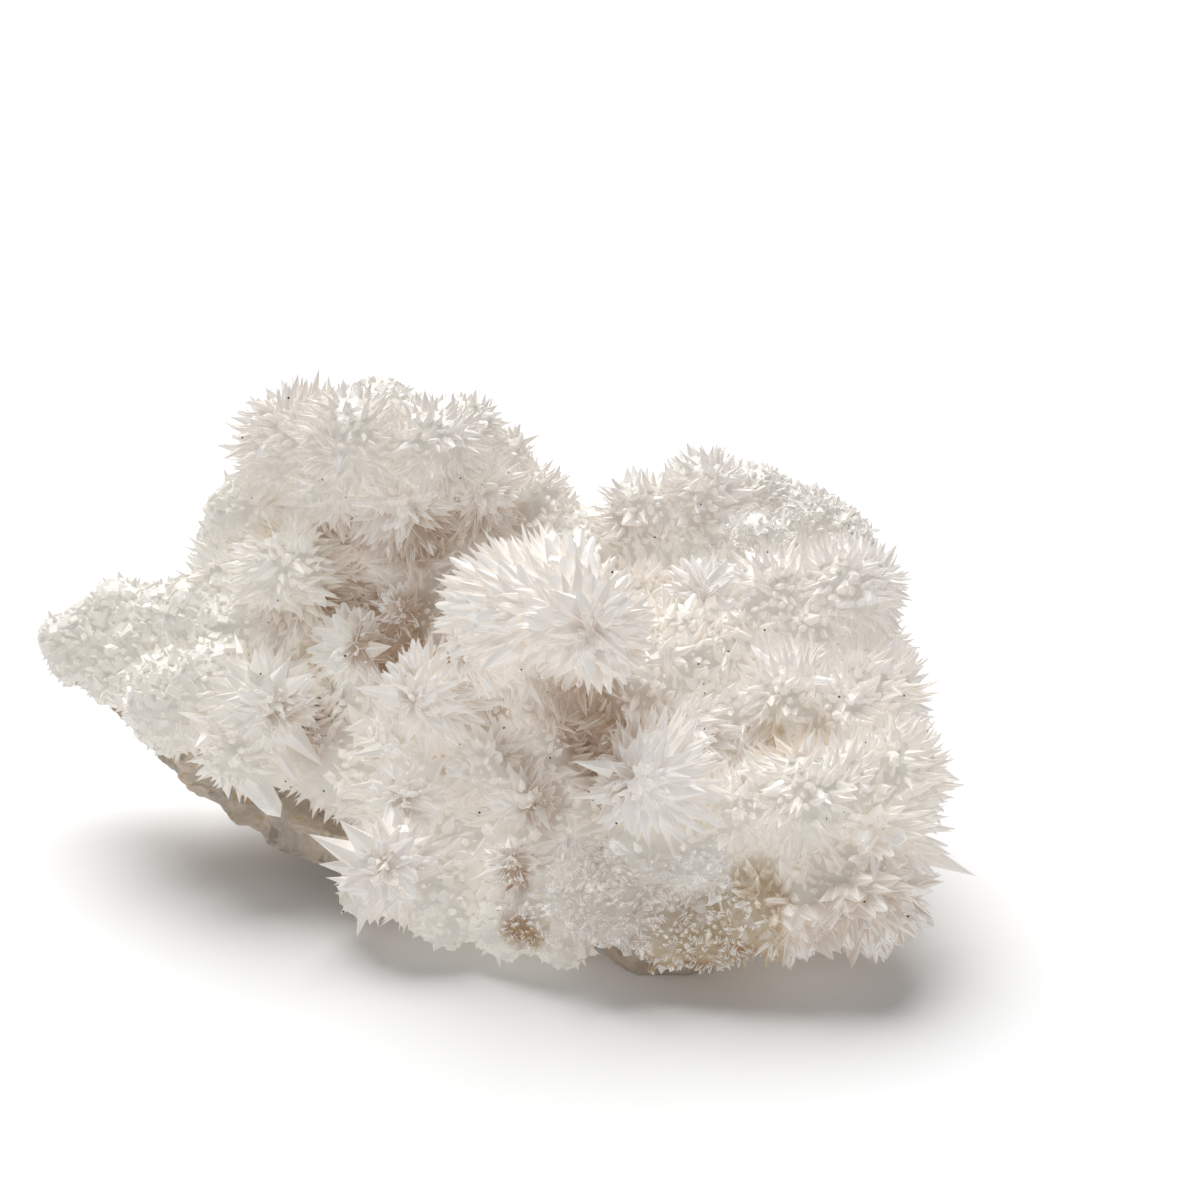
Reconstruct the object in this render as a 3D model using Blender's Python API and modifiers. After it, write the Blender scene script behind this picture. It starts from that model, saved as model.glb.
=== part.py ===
"""A calcite specimen: dogtooth crystals radiating from lumps grown together on a plate of host rock.

Sizes are millimetres and become metres through MM. X runs along the specimen, Y away from its front, Z up.
The plate rests on a small flat spot at Z = 0 and its left end stays clear of the ground.
"""
import math

import bmesh
import bpy
import numpy as np
from mathutils import Matrix, Vector, noise

MM = 0.001
SEED = 23

# Crust of crystals
HEART_SHARE = 0.73
STEM_SHARE = 0.62
STEM_FOOT_SHARE = 0.8
STEM_STEP = 3.0
CORE_VOXEL = 1.6
CORE_TRIANGLES = 1500
CRUST_TRIANGLES = 8600
CORE_LUMP_SIZE = 7.0
CORE_LUMP_HEIGHT = 0.8
SPEAR_BASE_SHARE = 0.36
SPEAR_WIDTH_SHARE = 1.45
SPEAR_REACH = (0.95, 1.07)
SPEAR_SIDES = 6
SPEAR_FLATNESS = 0.86
SPEAR_SCATTER = 0.10
SPEAR_WIDTH_SPREAD = (0.85, 1.15)
SPEAR_CLEARANCE = 0.8
HERO_SPIN = 0.3
GROUND_GAP = 0.7

# Plate of host rock
PLATE_VOXEL = 1.6
PLATE_TRIANGLES = 1050
PLATE_LUMP_SIZE = 16.0
PLATE_LUMP_HEIGHT = 3.0
SEAM_GAP = 0.55

# Small lumps on the large ones: share of their size, share of their height
FINE_SIZE = 0.4
FINE_HEIGHT = 0.5

# Cutting blocks
BLOCK_WIDTH = 400
BLOCK_FLOOR = -60

# Each lump: centre, reach of its crystals, pole's turn from the front and tilt from level,
# half angle of the cap that carries crystals, number of large crystals, their half width
MOUNDS = {
    "wing_tip": ((-101, 33, 45), 10, -60, 20, 100, 6, 3.2),
    "wing_top": ((-89, 36, 54), 10, -20, 40, 95, 5, 3.2),
    "wing_inner": ((-77, 32, 53), 11, -10, 40, 90, 5, 3.4),
    "wing_low": ((-90, 26, 41), 9, -30, 5, 80, 4, 3.2),
    "left_high": ((-58, 36, 79), 10, -50, 30, 90, 5, 3.2),
    "left_blades": ((-61, 32, 66), 11, -40, 30, 90, 6, 3.4),
    "left_bright": ((-46, 20, 71), 15, 10, 25, 100, 8, 4.0),
    "left_fan": ((-60, 20, 56), 10, -20, 20, 80, 5, 3.2),
    "low_left": ((-72, 12, 42), 16, -25, 5, 95, 8, 4.6),
    "low_spears": ((-51, 0, 48), 14, 20, 0, 90, 7, 4.6),
    "low_blunt": ((-57, -4, 37), 11, 20, -25, 70, 4, 4.4),
    "inner_star": ((-31, 8, 57), 11, 15, 30, 90, 6, 3.4),
    "inner_back": ((-38, 22, 59), 9, 10, 60, 70, 3, 3.0),
    "upper_left": ((-44, 36, 96), 17, -60, 15, 100, 8, 4.2),
    "upper_front": ((-31, 24, 102), 14, -25, 30, 90, 6, 4.0),
    "upper_bright": ((-12, 22, 101), 13, 15, 30, 95, 7, 3.8),
    "upper_top": ((-26, 44, 100), 11, 0, 70, 95, 6, 3.2),
    "upper_right": ((-5, 36, 100), 10, 50, 40, 95, 6, 3.0),
    "upper_under": ((-19, 22, 87), 14, 5, -25, 85, 7, 3.8),
    "upper_under_right": ((-2, 28, 88), 12, 40, -15, 85, 5, 3.4),
    "upper_under_left": ((-39, 30, 85), 12, -30, -10, 80, 5, 3.4),
    "shoulder": ((10, 38, 81), 11, 60, 30, 90, 5, 3.2),
    "shoulder_back": ((3, 44, 91), 8, 70, 40, 90, 4, 2.8),
    "saddle": ((20, 34, 74), 9, 20, 60, 90, 4, 2.8),
    "centre": ((20, -24, 77), 17, 5, 12, 105, 13, 4.4),
    "centre_left": ((4, -10, 76), 14, -40, 35, 95, 8, 4.0),
    "centre_low_left": ((0, -14, 68), 10, -50, -5, 80, 4, 3.2),
    "middle_left": ((-10, -8, 53), 15, -40, 10, 95, 8, 4.2),
    "middle_low_left": ((-18, -8, 41), 11, -60, -5, 80, 5, 3.6),
    "inner_low": ((-16, -16, 32), 12, -20, 10, 90, 5, 3.8),
    "grey_middle": ((1, -14, 39), 12, 5, 10, 85, 5, 3.6),
    "grey_upper": ((-1, -6, 46), 9, -10, 25, 80, 4, 3.0),
    "grey_right": ((10, -8, 43), 10, 15, 25, 80, 3, 3.2),
    "grey_star": ((8, -24, 35), 9, 30, 5, 90, 5, 3.2),
    "bottom_left": ((-19, -28, 20), 14, -25, 25, 90, 7, 4.6),
    "bottom_chunk": ((-27, -26, 13), 6, -40, -10, 80, 2, 3.0),
    "edge_left": ((-8, -32, 10), 8, -20, 0, 85, 4, 3.2),
    "edge_middle": ((5, -35, 9), 8, -10, 0, 85, 4, 3.2),
    "edge_right": ((18, -39, 9), 8, 0, 0, 85, 4, 3.2),
    "little_fan": ((7, -36, 25), 8, 0, 55, 70, 4, 2.8),
    "hollow_star": ((-20, 14, 64), 8, 10, 20, 80, 4, 2.6),
    "hollow_low": ((-22, 16, 54), 9, 10, 20, 80, 3, 2.8),
    "hollow_right": ((28, 2, 58), 9, 20, 10, 80, 4, 3.0),
    "hollow_floor": ((33, -8, 49), 9, 0, 20, 80, 3, 3.0),
    "low_hollow": ((-37, -2, 34), 8, 0, 30, 80, 3, 2.8),
    "grey_left": ((-7, -6, 38), 9, -10, 10, 80, 3, 3.0),
    "druse_left": ((11, -38, 15), 8, -10, 10, 85, 4, 3.0),
    "druse_front": ((30, -42, 19), 10, 0, 15, 90, 5, 3.4),
    "druse_right": ((47, -44, 29), 9, 0, 10, 85, 4, 3.2),
    "druse_low": ((41, -45, 13), 8, 0, 10, 80, 4, 2.8),
    "druse_foot": ((58, -46, 19), 9, -5, 0, 85, 4, 3.2),
    "right_fan": ((40, -32, 43), 18, -45, 20, 90, 9, 4.8),
    "right_fan_upper": ((47, -16, 48), 13, -45, 25, 90, 6, 4.0),
    "peak_left": ((36, 30, 82), 11, -35, 35, 95, 6, 3.2),
    "peak": ((50, 32, 86), 12, 0, 60, 95, 7, 3.2),
    "peak_right": ((63, 36, 83), 9, 20, 60, 90, 5, 3.0),
    "druse_top": ((74, 32, 77), 11, 25, 55, 90, 6, 3.2),
    "druse_edge": ((83, 29, 75), 8, 55, 40, 90, 4, 3.0),
    "small_star": ((50, 8, 69), 11, 0, 35, 85, 5, 3.2),
    "behind_centre": ((36, 16, 66), 11, 20, 55, 85, 4, 3.2),
    "right_inner": ((65, 8, 70), 13, 5, 35, 90, 6, 3.8),
    "blunt_middle": ((44, -2, 65), 10, 10, 10, 85, 4, 3.8),
    "right_upper": ((82, 8, 71), 14, 40, 25, 100, 8, 3.8),
    "right_mid_left": ((68, -12, 54), 15, -10, 35, 90, 7, 4.2),
    "right_mid": ((85, -6, 51), 17, 35, 25, 100, 9, 4.2),
    "right_mid_inner": ((56, -12, 51), 11, -40, 25, 80, 4, 3.4),
    "right_bright": ((70, -34, 40), 16, -5, 30, 100, 10, 4.2),
    "right_bright_side": ((89, -24, 41), 16, 50, 15, 100, 9, 4.2),
    "right_spears": ((84, -32, 31), 19, 35, -20, 95, 10, 5.0),
    "right_low": ((80, -42, 19), 14, 30, -25, 90, 7, 4.6),
    "right_foot": ((85, -46, 13), 11, 40, -20, 90, 5, 3.8),
    "bottom_right": ((69, -47, 12), 10, 10, -30, 85, 5, 3.6),
    "right_back": ((86, 14, 52), 14, 100, 10, 90, 7, 4.2),
    "right_under": ((88, 0, 34), 13, 80, -15, 90, 6, 4.2),
}

# Single crystals that stand out: foot, tip, half width at the widest, share of that width left at the tip
HEROES = {
    "long_right": ((88, -27, 28), (110, -28, 18), 3.0, 0.12),
    "big_blunt": ((-60, -4, 39), (-47, -12, 24), 4.6, 0.45),
    "big_spear": ((-52, -2, 48), (-36, -8, 34), 3.8, 0.12),
    "low_up": ((-51, 0, 50), (-51, -8, 66), 2.4, 0.15),
    "star_left": ((-31, 8, 57), (-20, -1, 63), 2.6, 0.15),
    "bottom_one": ((-20, -28, 20), (-41, -34, 33), 2.6, 0.12),
    "bottom_two": ((-20, -28, 20), (-31, -34, 37), 2.8, 0.12),
    "upper_spear": ((-31, 24, 100), (-35, 9, 99), 2.2, 0.15),
}

# Inner run of the crust, as a point and its thickness
SPINE = {
    "wing_end": ((-94, 36, 42), 6),
    "wing": ((-74, 30, 42), 10),
    "left": ((-50, 22, 46), 15),
    "left_low": ((-40, 8, 33), 12),
    "upper_back": ((-32, 40, 76), 13),
    "upper": ((-20, 38, 90), 14),
    "back_middle": ((4, 34, 66), 13),
    "back_right": ((48, 30, 66), 15),
    "middle": ((6, 4, 46), 14),
    "centre": ((22, -8, 58), 12),
    "right": ((70, 8, 54), 17),
    "front_left": ((-10, -16, 22), 10),
    "front": ((24, -24, 22), 11),
    "front_right": ((62, -26, 28), 13),
    "hollow": ((-16, 26, 64), 12),
    "hollow_right": ((26, 14, 52), 10),
}
LINKS = (
    ("wing_end", "wing"), ("wing", "left"), ("left", "left_low"), ("left", "upper_back"),
    ("upper_back", "upper"), ("upper", "back_middle"), ("back_middle", "back_right"),
    ("left_low", "middle"), ("back_middle", "middle"), ("middle", "centre"), ("centre", "right"),
    ("back_right", "right"), ("left_low", "front_left"), ("front_left", "front"), ("middle", "front"),
    ("front", "front_right"), ("front_right", "right"), ("upper_back", "hollow"), ("hollow", "middle"),
    ("middle", "hollow_right"), ("hollow_right", "back_right"), ("hollow_right", "right"),
)

# Slabs of the plate: centre, half length, half depth, thickness, widening upward, turn,
# lean up to the left, lean up to the back
SLABS = {
    "foot": ((21, 2, 8), 34, 27, 20, 1.16, 8, 0, 0),
    "toe": ((42, -28, 6), 16, 15, 12, 1.15, -12, 0, 6),
    "heel": ((16, 28, 22), 44, 18, 26, 1.08, 0, 0, -8),
    "left_root": ((-28, 10, 15), 26, 26, 15, 1.05, -28, 8, 6),
    "left_plate": ((-54, 20, 22), 25, 20, 12, 1.04, -30, 17, 8),
    "wing_plate": ((-78, 30, 31), 20, 14, 8, 1.04, -28, 25, 8),
    "wing_end": ((-95, 35, 39), 13, 10, 5, 1.04, -26, 30, 6),
    "right_plate": ((58, 4, 24), 34, 32, 20, 1.12, 5, -16, 14),
    "left_back": ((-36, 38, 42), 28, 13, 42, 1.05, -10, -6, -14),
    "upper_back": ((-28, 44, 70), 26, 10, 34, 0.85, -6, 4, -10),
    "middle_back": ((8, 38, 42), 32, 14, 46, 0.95, 6, 0, -12),
    "right_back": ((52, 38, 42), 34, 13, 42, 1.00, 2, 3, -16),
}
SLAB_SIDES = 9

CALCITE_COLOUR = (0.84, 0.79, 0.73)
CALCITE_ROUGHNESS = 0.3
ROCK_COLOUR = (0.36, 0.29, 0.23)
ROCK_ROUGHNESS = 0.85


def direction(turn, tilt):
    """Unit vector from a turn away from the front (-Y) towards +X, and a tilt above level."""
    a, e = math.radians(turn), math.radians(tilt)
    return Vector((math.sin(a) * math.cos(e), -math.cos(a) * math.cos(e), math.sin(e)))


def cap_directions(pole, half_angle, count, rng, scatter):
    """Directions spread evenly over a cap about the pole, each one strayed a little."""
    turned = pole.to_track_quat("Z", "Y")
    golden = math.pi * (3 - math.sqrt(5))
    depth = 1 - math.cos(math.radians(half_angle))
    for k in range(count):
        c = 1 - (k + 0.5) / count * depth
        s = math.sqrt(max(0.0, 1 - c * c))
        way = turned @ Vector((s * math.cos(k * golden), s * math.sin(k * golden), c))
        way += Vector(rng.normal(0, scatter, 3))
        yield way.normalized()


def add_ball(bm, centre, radius, subdivisions=2):
    bmesh.ops.create_icosphere(
        bm, subdivisions=subdivisions, radius=radius * MM, matrix=Matrix.Translation(Vector(centre) * MM)
    )


def add_stem(bm, start, start_radius, end, end_radius):
    """A tapered run of balls between two points."""
    a, b = Vector(start), Vector(end)
    steps = max(1, round((b - a).length / STEM_STEP))
    for k in range(steps + 1):
        t = k / steps
        add_ball(bm, a.lerp(b, t), start_radius + (end_radius - start_radius) * t, 1)


def nearest_on_spine(point):
    """The closest point of the spine's links to the given point, and its thickness there."""
    best = None
    for first, second in LINKS:
        (a, ra), (b, rb) = SPINE[first], SPINE[second]
        a, b = Vector(a), Vector(b)
        t = min(1.0, max(0.0, (point - a).dot(b - a) / (b - a).length_squared))
        found = a.lerp(b, t)
        if best is None or (point - found).length < (point - best[0]).length:
            best = (found, ra + (rb - ra) * t)
    return best


def add_spear(bm, foot, tip, half_width, blunt, spin):
    """One six-sided crystal that narrows towards its tip and is a little flattened."""
    way = Vector(tip) - Vector(foot)
    turned = way.to_track_quat("Z", "Y").to_matrix().to_4x4()
    place = Matrix.Translation((Vector(foot) + way / 2) * MM) @ turned @ Matrix.Rotation(spin, 4, "Z")
    place = place @ Matrix.Diagonal((1, SPEAR_FLATNESS, 1, 1))
    bmesh.ops.create_cone(
        bm, cap_ends=True, segments=SPEAR_SIDES, radius1=half_width * MM,
        radius2=half_width * blunt * MM, depth=way.length * MM, matrix=place,
    )


def add_slab(bm, centre, half_x, half_y, thick, flare, turn, lean_left, lean_back):
    """One slab of rock with an uneven outline once it is roughened."""
    place = (
        Matrix.Translation(Vector(centre) * MM)
        @ Matrix.Rotation(math.radians(lean_left), 4, "Y")
        @ Matrix.Rotation(math.radians(lean_back), 4, "X")
        @ Matrix.Rotation(math.radians(turn), 4, "Z")
        @ Matrix.Diagonal((half_x, half_y, 1, 1))
    )
    bmesh.ops.create_cone(
        bm, cap_ends=True, segments=SLAB_SIDES, radius1=MM, radius2=flare * MM, depth=thick * MM,
        matrix=place,
    )


def new_object(name, bm, collection):
    mesh = bpy.data.meshes.new(name)
    bm.to_mesh(mesh)
    bm.free()
    made = bpy.data.objects.new(name, mesh)
    collection.objects.link(made)
    return made


def apply_modifiers(target):
    """Puts the modifiers' result into the object's own mesh."""
    bpy.context.view_layer.update()
    evaluated = target.evaluated_get(bpy.context.evaluated_depsgraph_get())
    mesh = bpy.data.meshes.new_from_object(evaluated)
    target.modifiers.clear()
    target.data = mesh


def remesh(target, voxel):
    step = target.modifiers.new("one skin", "REMESH")
    step.mode = "VOXEL"
    step.voxel_size = voxel * MM
    apply_modifiers(target)


def decimate(target, triangles):
    step = target.modifiers.new("flat faces", "DECIMATE")
    step.ratio = min(1.0, triangles / sum(len(p.vertices) - 2 for p in target.data.polygons))
    step.use_collapse_triangulate = True
    apply_modifiers(target)


def combine(target, other, operation, use_self=False):
    step = target.modifiers.new("combine", "BOOLEAN")
    step.operation = operation
    step.object = other
    step.solver = "EXACT"
    step.use_self = use_self
    apply_modifiers(target)


def roughen(target, size, height):
    """Moves the skin in and out by smooth noise of the given lump size."""
    bm = bmesh.new()
    bm.from_mesh(target.data)
    bm.normal_update()
    for v in bm.verts:
        near = noise.noise(v.co / (size * MM)) + FINE_HEIGHT * noise.noise(v.co / (size * MM * FINE_SIZE))
        v.co += v.normal * near * height * MM
    bm.to_mesh(target.data)
    bm.free()


def swell(target, amount):
    """Moves every point outward along its normal."""
    bm = bmesh.new()
    bm.from_mesh(target.data)
    bm.normal_update()
    for v in bm.verts:
        v.co += v.normal * (amount * MM * v.calc_shell_factor())
    bm.to_mesh(target.data)
    bm.free()


def keep_largest(target):
    """Leaves only the largest connected piece."""
    bm = bmesh.new()
    bm.from_mesh(target.data)
    left, pieces = set(bm.verts), []
    while left:
        piece, open_ends = set(), [left.pop()]
        while open_ends:
            v = open_ends.pop()
            piece.add(v)
            for e in v.link_edges:
                other = e.other_vert(v)
                if other in left:
                    left.discard(other)
                    open_ends.append(other)
        pieces.append(piece)
    pieces.sort(key=len)
    bmesh.ops.delete(bm, geom=[v for piece in pieces[:-1] for v in piece], context="VERTS")
    bmesh.ops.triangulate(bm, faces=bm.faces)
    bm.to_mesh(target.data)
    bm.free()


def block(name, low, high, collection):
    """A plain box between two heights, wider than the specimen."""
    bm = bmesh.new()
    size = Matrix.Diagonal((BLOCK_WIDTH * MM, BLOCK_WIDTH * MM, (high - low) * MM, 1))
    bmesh.ops.create_cube(bm, size=1, matrix=Matrix.Translation((0, 0, (low + high) / 2 * MM)) @ size)
    return new_object(name, bm, collection)


def build_core(collection):
    """The lumps' solid hearts, each joined to the spine by a stem."""
    bm = bmesh.new()
    for centre, reach, *_ in MOUNDS.values():
        add_ball(bm, centre, reach * HEART_SHARE)
        foot, thick = nearest_on_spine(Vector(centre))
        add_stem(bm, centre, reach * STEM_SHARE, foot, thick * STEM_FOOT_SHARE)
    for first, second in LINKS:
        (a, ra), (b, rb) = SPINE[first], SPINE[second]
        add_stem(bm, a, ra, b, rb)
    core = new_object("calcite_crust", bm, collection)
    remesh(core, CORE_VOXEL)
    roughen(core, CORE_LUMP_SIZE, CORE_LUMP_HEIGHT)
    decimate(core, CORE_TRIANGLES)
    return core


def build_spears(collection):
    """All large crystals, as closed six-sided forms that pass into the lumps."""
    rng = np.random.default_rng(SEED)
    hearts = [(Vector(row[0]), row[1] * SPEAR_CLEARANCE) for row in MOUNDS.values()]
    bm = bmesh.new()
    for centre, reach, turn, tilt, spread, count, width in MOUNDS.values():
        centre = Vector(centre)
        for way in cap_directions(direction(turn, tilt), spread, count, rng, SPEAR_SCATTER):
            length = reach * rng.uniform(*SPEAR_REACH)
            half = width * SPEAR_WIDTH_SHARE * rng.uniform(*SPEAR_WIDTH_SPREAD)
            spin = rng.uniform(0, math.tau)
            tip = centre + way * length
            if tip.z < GROUND_GAP or any((tip - c).length < r for c, r in hearts if c != centre):
                continue
            add_spear(bm, centre + way * reach * SPEAR_BASE_SHARE, tip, half, 0.0, spin)
    for foot, tip, half, blunt in HEROES.values():
        add_spear(bm, foot, tip, half, blunt, HERO_SPIN)
    bmesh.ops.remove_doubles(bm, verts=bm.verts, dist=1e-7)
    bmesh.ops.recalc_face_normals(bm, faces=bm.faces)
    return new_object("spears", bm, collection)


def build_plate(collection):
    bm = bmesh.new()
    for row in SLABS.values():
        add_slab(bm, *row)
    plate = new_object("matrix", bm, collection)
    remesh(plate, PLATE_VOXEL)
    roughen(plate, PLATE_LUMP_SIZE, PLATE_LUMP_HEIGHT)
    decimate(plate, PLATE_TRIANGLES)
    return plate


def paint(target, name, colour, roughness):
    material = bpy.data.materials.new(name)
    material.use_nodes = True
    shader = material.node_tree.nodes["Principled BSDF"]
    shader.inputs["Base Color"].default_value = (*colour, 1)
    shader.inputs["Roughness"].default_value = roughness
    target.data.materials.clear()
    target.data.materials.append(material)


def main():
    for old in list(bpy.data.objects):
        bpy.data.objects.remove(old)
    parts = bpy.data.collections.new("calcite_specimen")
    cutters = bpy.data.collections.new("cutters")
    for made in (parts, cutters):
        bpy.context.scene.collection.children.link(made)

    plate = build_plate(parts)
    seam = plate.copy()
    seam.data = plate.data.copy()
    seam.name = "seam"
    cutters.objects.link(seam)
    swell(seam, SEAM_GAP)
    combine(seam, plate, "UNION", use_self=True)
    ground = block("ground", BLOCK_FLOOR, 0, cutters)
    clearance = block("clearance", BLOCK_FLOOR, GROUND_GAP, cutters)
    spears = build_spears(cutters)
    for cutter in (seam, ground, clearance, spears):
        cutter.hide_render = True
        cutter.display_type = "WIRE"

    combine(plate, ground, "DIFFERENCE")
    keep_largest(plate)
    crust = build_core(parts)
    combine(crust, spears, "UNION", use_self=True)
    combine(crust, seam, "DIFFERENCE")
    combine(crust, clearance, "DIFFERENCE")
    keep_largest(crust)
    decimate(crust, CRUST_TRIANGLES)
    paint(crust, "calcite", CALCITE_COLOUR, CALCITE_ROUGHNESS)
    paint(plate, "host_rock", ROCK_COLOUR, ROCK_ROUGHNESS)


main()
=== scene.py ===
"""The looks of a calcite specimen: dogtooth crystals that radiate from lumps on a plate of host rock.

Sizes in the lists are millimetres and become metres through MM. X runs along the specimen, Y away from
its front and Z up. The crystals are copies of a few forms, placed on arrays and joined into one mesh a zone.
"""
import math

import bmesh
import bpy
import numpy as np
from bpy.props import FloatProperty, FloatVectorProperty, IntProperty, PointerProperty
from mathutils import Matrix, Vector, noise
from mathutils.bvhtree import BVHTree
from mathutils.kdtree import KDTree


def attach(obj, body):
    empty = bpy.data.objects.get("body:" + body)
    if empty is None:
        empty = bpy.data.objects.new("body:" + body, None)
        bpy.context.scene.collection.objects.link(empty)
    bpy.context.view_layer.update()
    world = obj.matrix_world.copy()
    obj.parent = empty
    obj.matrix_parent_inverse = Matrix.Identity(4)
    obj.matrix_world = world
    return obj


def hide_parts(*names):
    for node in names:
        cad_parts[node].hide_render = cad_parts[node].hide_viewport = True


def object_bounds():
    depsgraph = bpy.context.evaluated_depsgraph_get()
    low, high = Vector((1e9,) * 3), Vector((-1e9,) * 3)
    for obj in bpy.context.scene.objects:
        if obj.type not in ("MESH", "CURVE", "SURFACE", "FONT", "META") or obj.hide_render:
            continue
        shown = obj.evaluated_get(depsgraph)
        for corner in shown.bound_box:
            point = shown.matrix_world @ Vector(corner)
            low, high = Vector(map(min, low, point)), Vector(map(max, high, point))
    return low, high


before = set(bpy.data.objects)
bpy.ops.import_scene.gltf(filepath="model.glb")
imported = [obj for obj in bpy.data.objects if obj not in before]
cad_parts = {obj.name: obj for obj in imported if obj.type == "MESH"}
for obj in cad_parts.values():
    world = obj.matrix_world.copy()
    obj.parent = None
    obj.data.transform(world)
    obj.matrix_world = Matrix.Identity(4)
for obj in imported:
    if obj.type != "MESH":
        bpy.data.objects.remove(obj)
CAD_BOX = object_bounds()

bl_info = {
    "name": "Calcite specimen",
    "version": (1, 0, 0),
    "blender": (4, 5, 0),
    "location": "3D View > Sidebar > Calcite",
    "description": "Builds the crystals, the massive calcite and the host rock of a calcite specimen",
    "category": "Object",
}

MM = 0.001
BODY = "root"
LOW_CORNER = np.array(CAD_BOX[0]) / MM
HIGH_CORNER = np.array(CAD_BOX[1]) / MM
GOLDEN_ANGLE = math.pi * (3 - math.sqrt(5))

# Least distance from a piece, and from a crystal's tip, to the box of the solids and to the ground
BOX_MARGIN = 0.15
TIP_MARGIN = 0.4
GROUND_CLEARANCE = 0.5
TIP_CLEARANCE = 1.1

# Where a crystal is widest, as a share of its length, how much higher than that its ring may reach, and
# the share of its radius that every other corner of the ring keeps
WAIST = 0.42
RING_SLACK = 0.1
PINCH = 0.84

# Kinds of lump: share of the reach that is massive calcite, share of the reach at which the tips lie
# at 0, 30, 50 and 70 degrees off the pole, share of blunt crystals
KINDS = {
    "star": (0.58, (0.70, 0.76, 0.90, 1.0), 0.04),
    "fan": (0.60, (0.76, 0.80, 0.92, 1.0), 0.10),
    "dome": (0.74, (0.96, 0.98, 1.0, 1.02), 0.10),
    "spears": (0.56, (1.0, 1.0, 1.0, 1.0), 0.06),
    "sugar": (0.88, (0.95, 0.97, 0.99, 1.0), 0.75),
    "druse": (0.90, (0.95, 0.95, 0.96, 0.97), 0.95),
    "deep": (0.46, (0.72, 0.80, 0.92, 1.0), 0.15),
}
PROFILE_ANGLES = (0, 30, 50, 70)

# Share of a lump's crystals that are large ones, set by their places on its cap
PETAL_SHARE = {"star": 1.0, "fan": 1.0, "spears": 1.0, "dome": 0.12, "sugar": 0.16, "druse": 0.0, "deep": 1.0}

# Degrees off a lump's pole, how far along the pole the crystals root there, as a share of its reach, and
# the part of that which lumps of spears keep
FOCUS_PROFILE = ((0, 25, 45, 80, 110), (0.15, 0.36, 0.48, 0.42, 0.10))
SPEARS_FOCUS = 0.2

# Degrees off a lump's pole, how much broader the crystals are there, and how many more of them are blunt
BROADER = ((0, 35, 65), (1.5, 1.3, 1.0))
BLUNTER = ((10, 30), (0.5, 0.0))

# Kinds of lump that carry grains and low blocks in place of crystals
GRAINY = ("sugar", "druse")

# Least distance between the smaller crystals on each kind of lump, and how many places are tried
SPOT_GAPS = {
    "star": 2.0, "fan": 1.9, "spears": 1.9, "dome": 1.75, "sugar": 1.8, "druse": 1.1, "deep": 1.9,
}
SPOT_TRIES = 110000
SPOT_STRAY = 0.7
SPOT_SMOOTHING = 12

# How the smaller crystals stand: how far neighbours lean together, how far each one strays, and the
# share of its height that is sunk in the massive calcite, beside a fixed depth
BLADES = (0.75, 0.13, 0.7)
BETWEEN = (0.7, 0.26, 0.6)
CRUST = (0.3, 0.14, 0.8)
GRAINS = (0.4, 0.55, 0.8)
SUNK_DEPTH = 1.0
DRIFT_SIZE = 9.0

# The grain of the coarse skin that tells how open a place is, and the share of the lumps' reach under it
OPEN_GRAIN = 3.0
OPEN_SHARE = 0.8

# Lumps in a surface: their size and their height
ROCK_LUMPS = ((7.0, 0.9), (3.0, 0.45), (1.6, 0.3))
HEART_LUMPS = ((5.0, 0.7), (2.2, 0.45))

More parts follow.
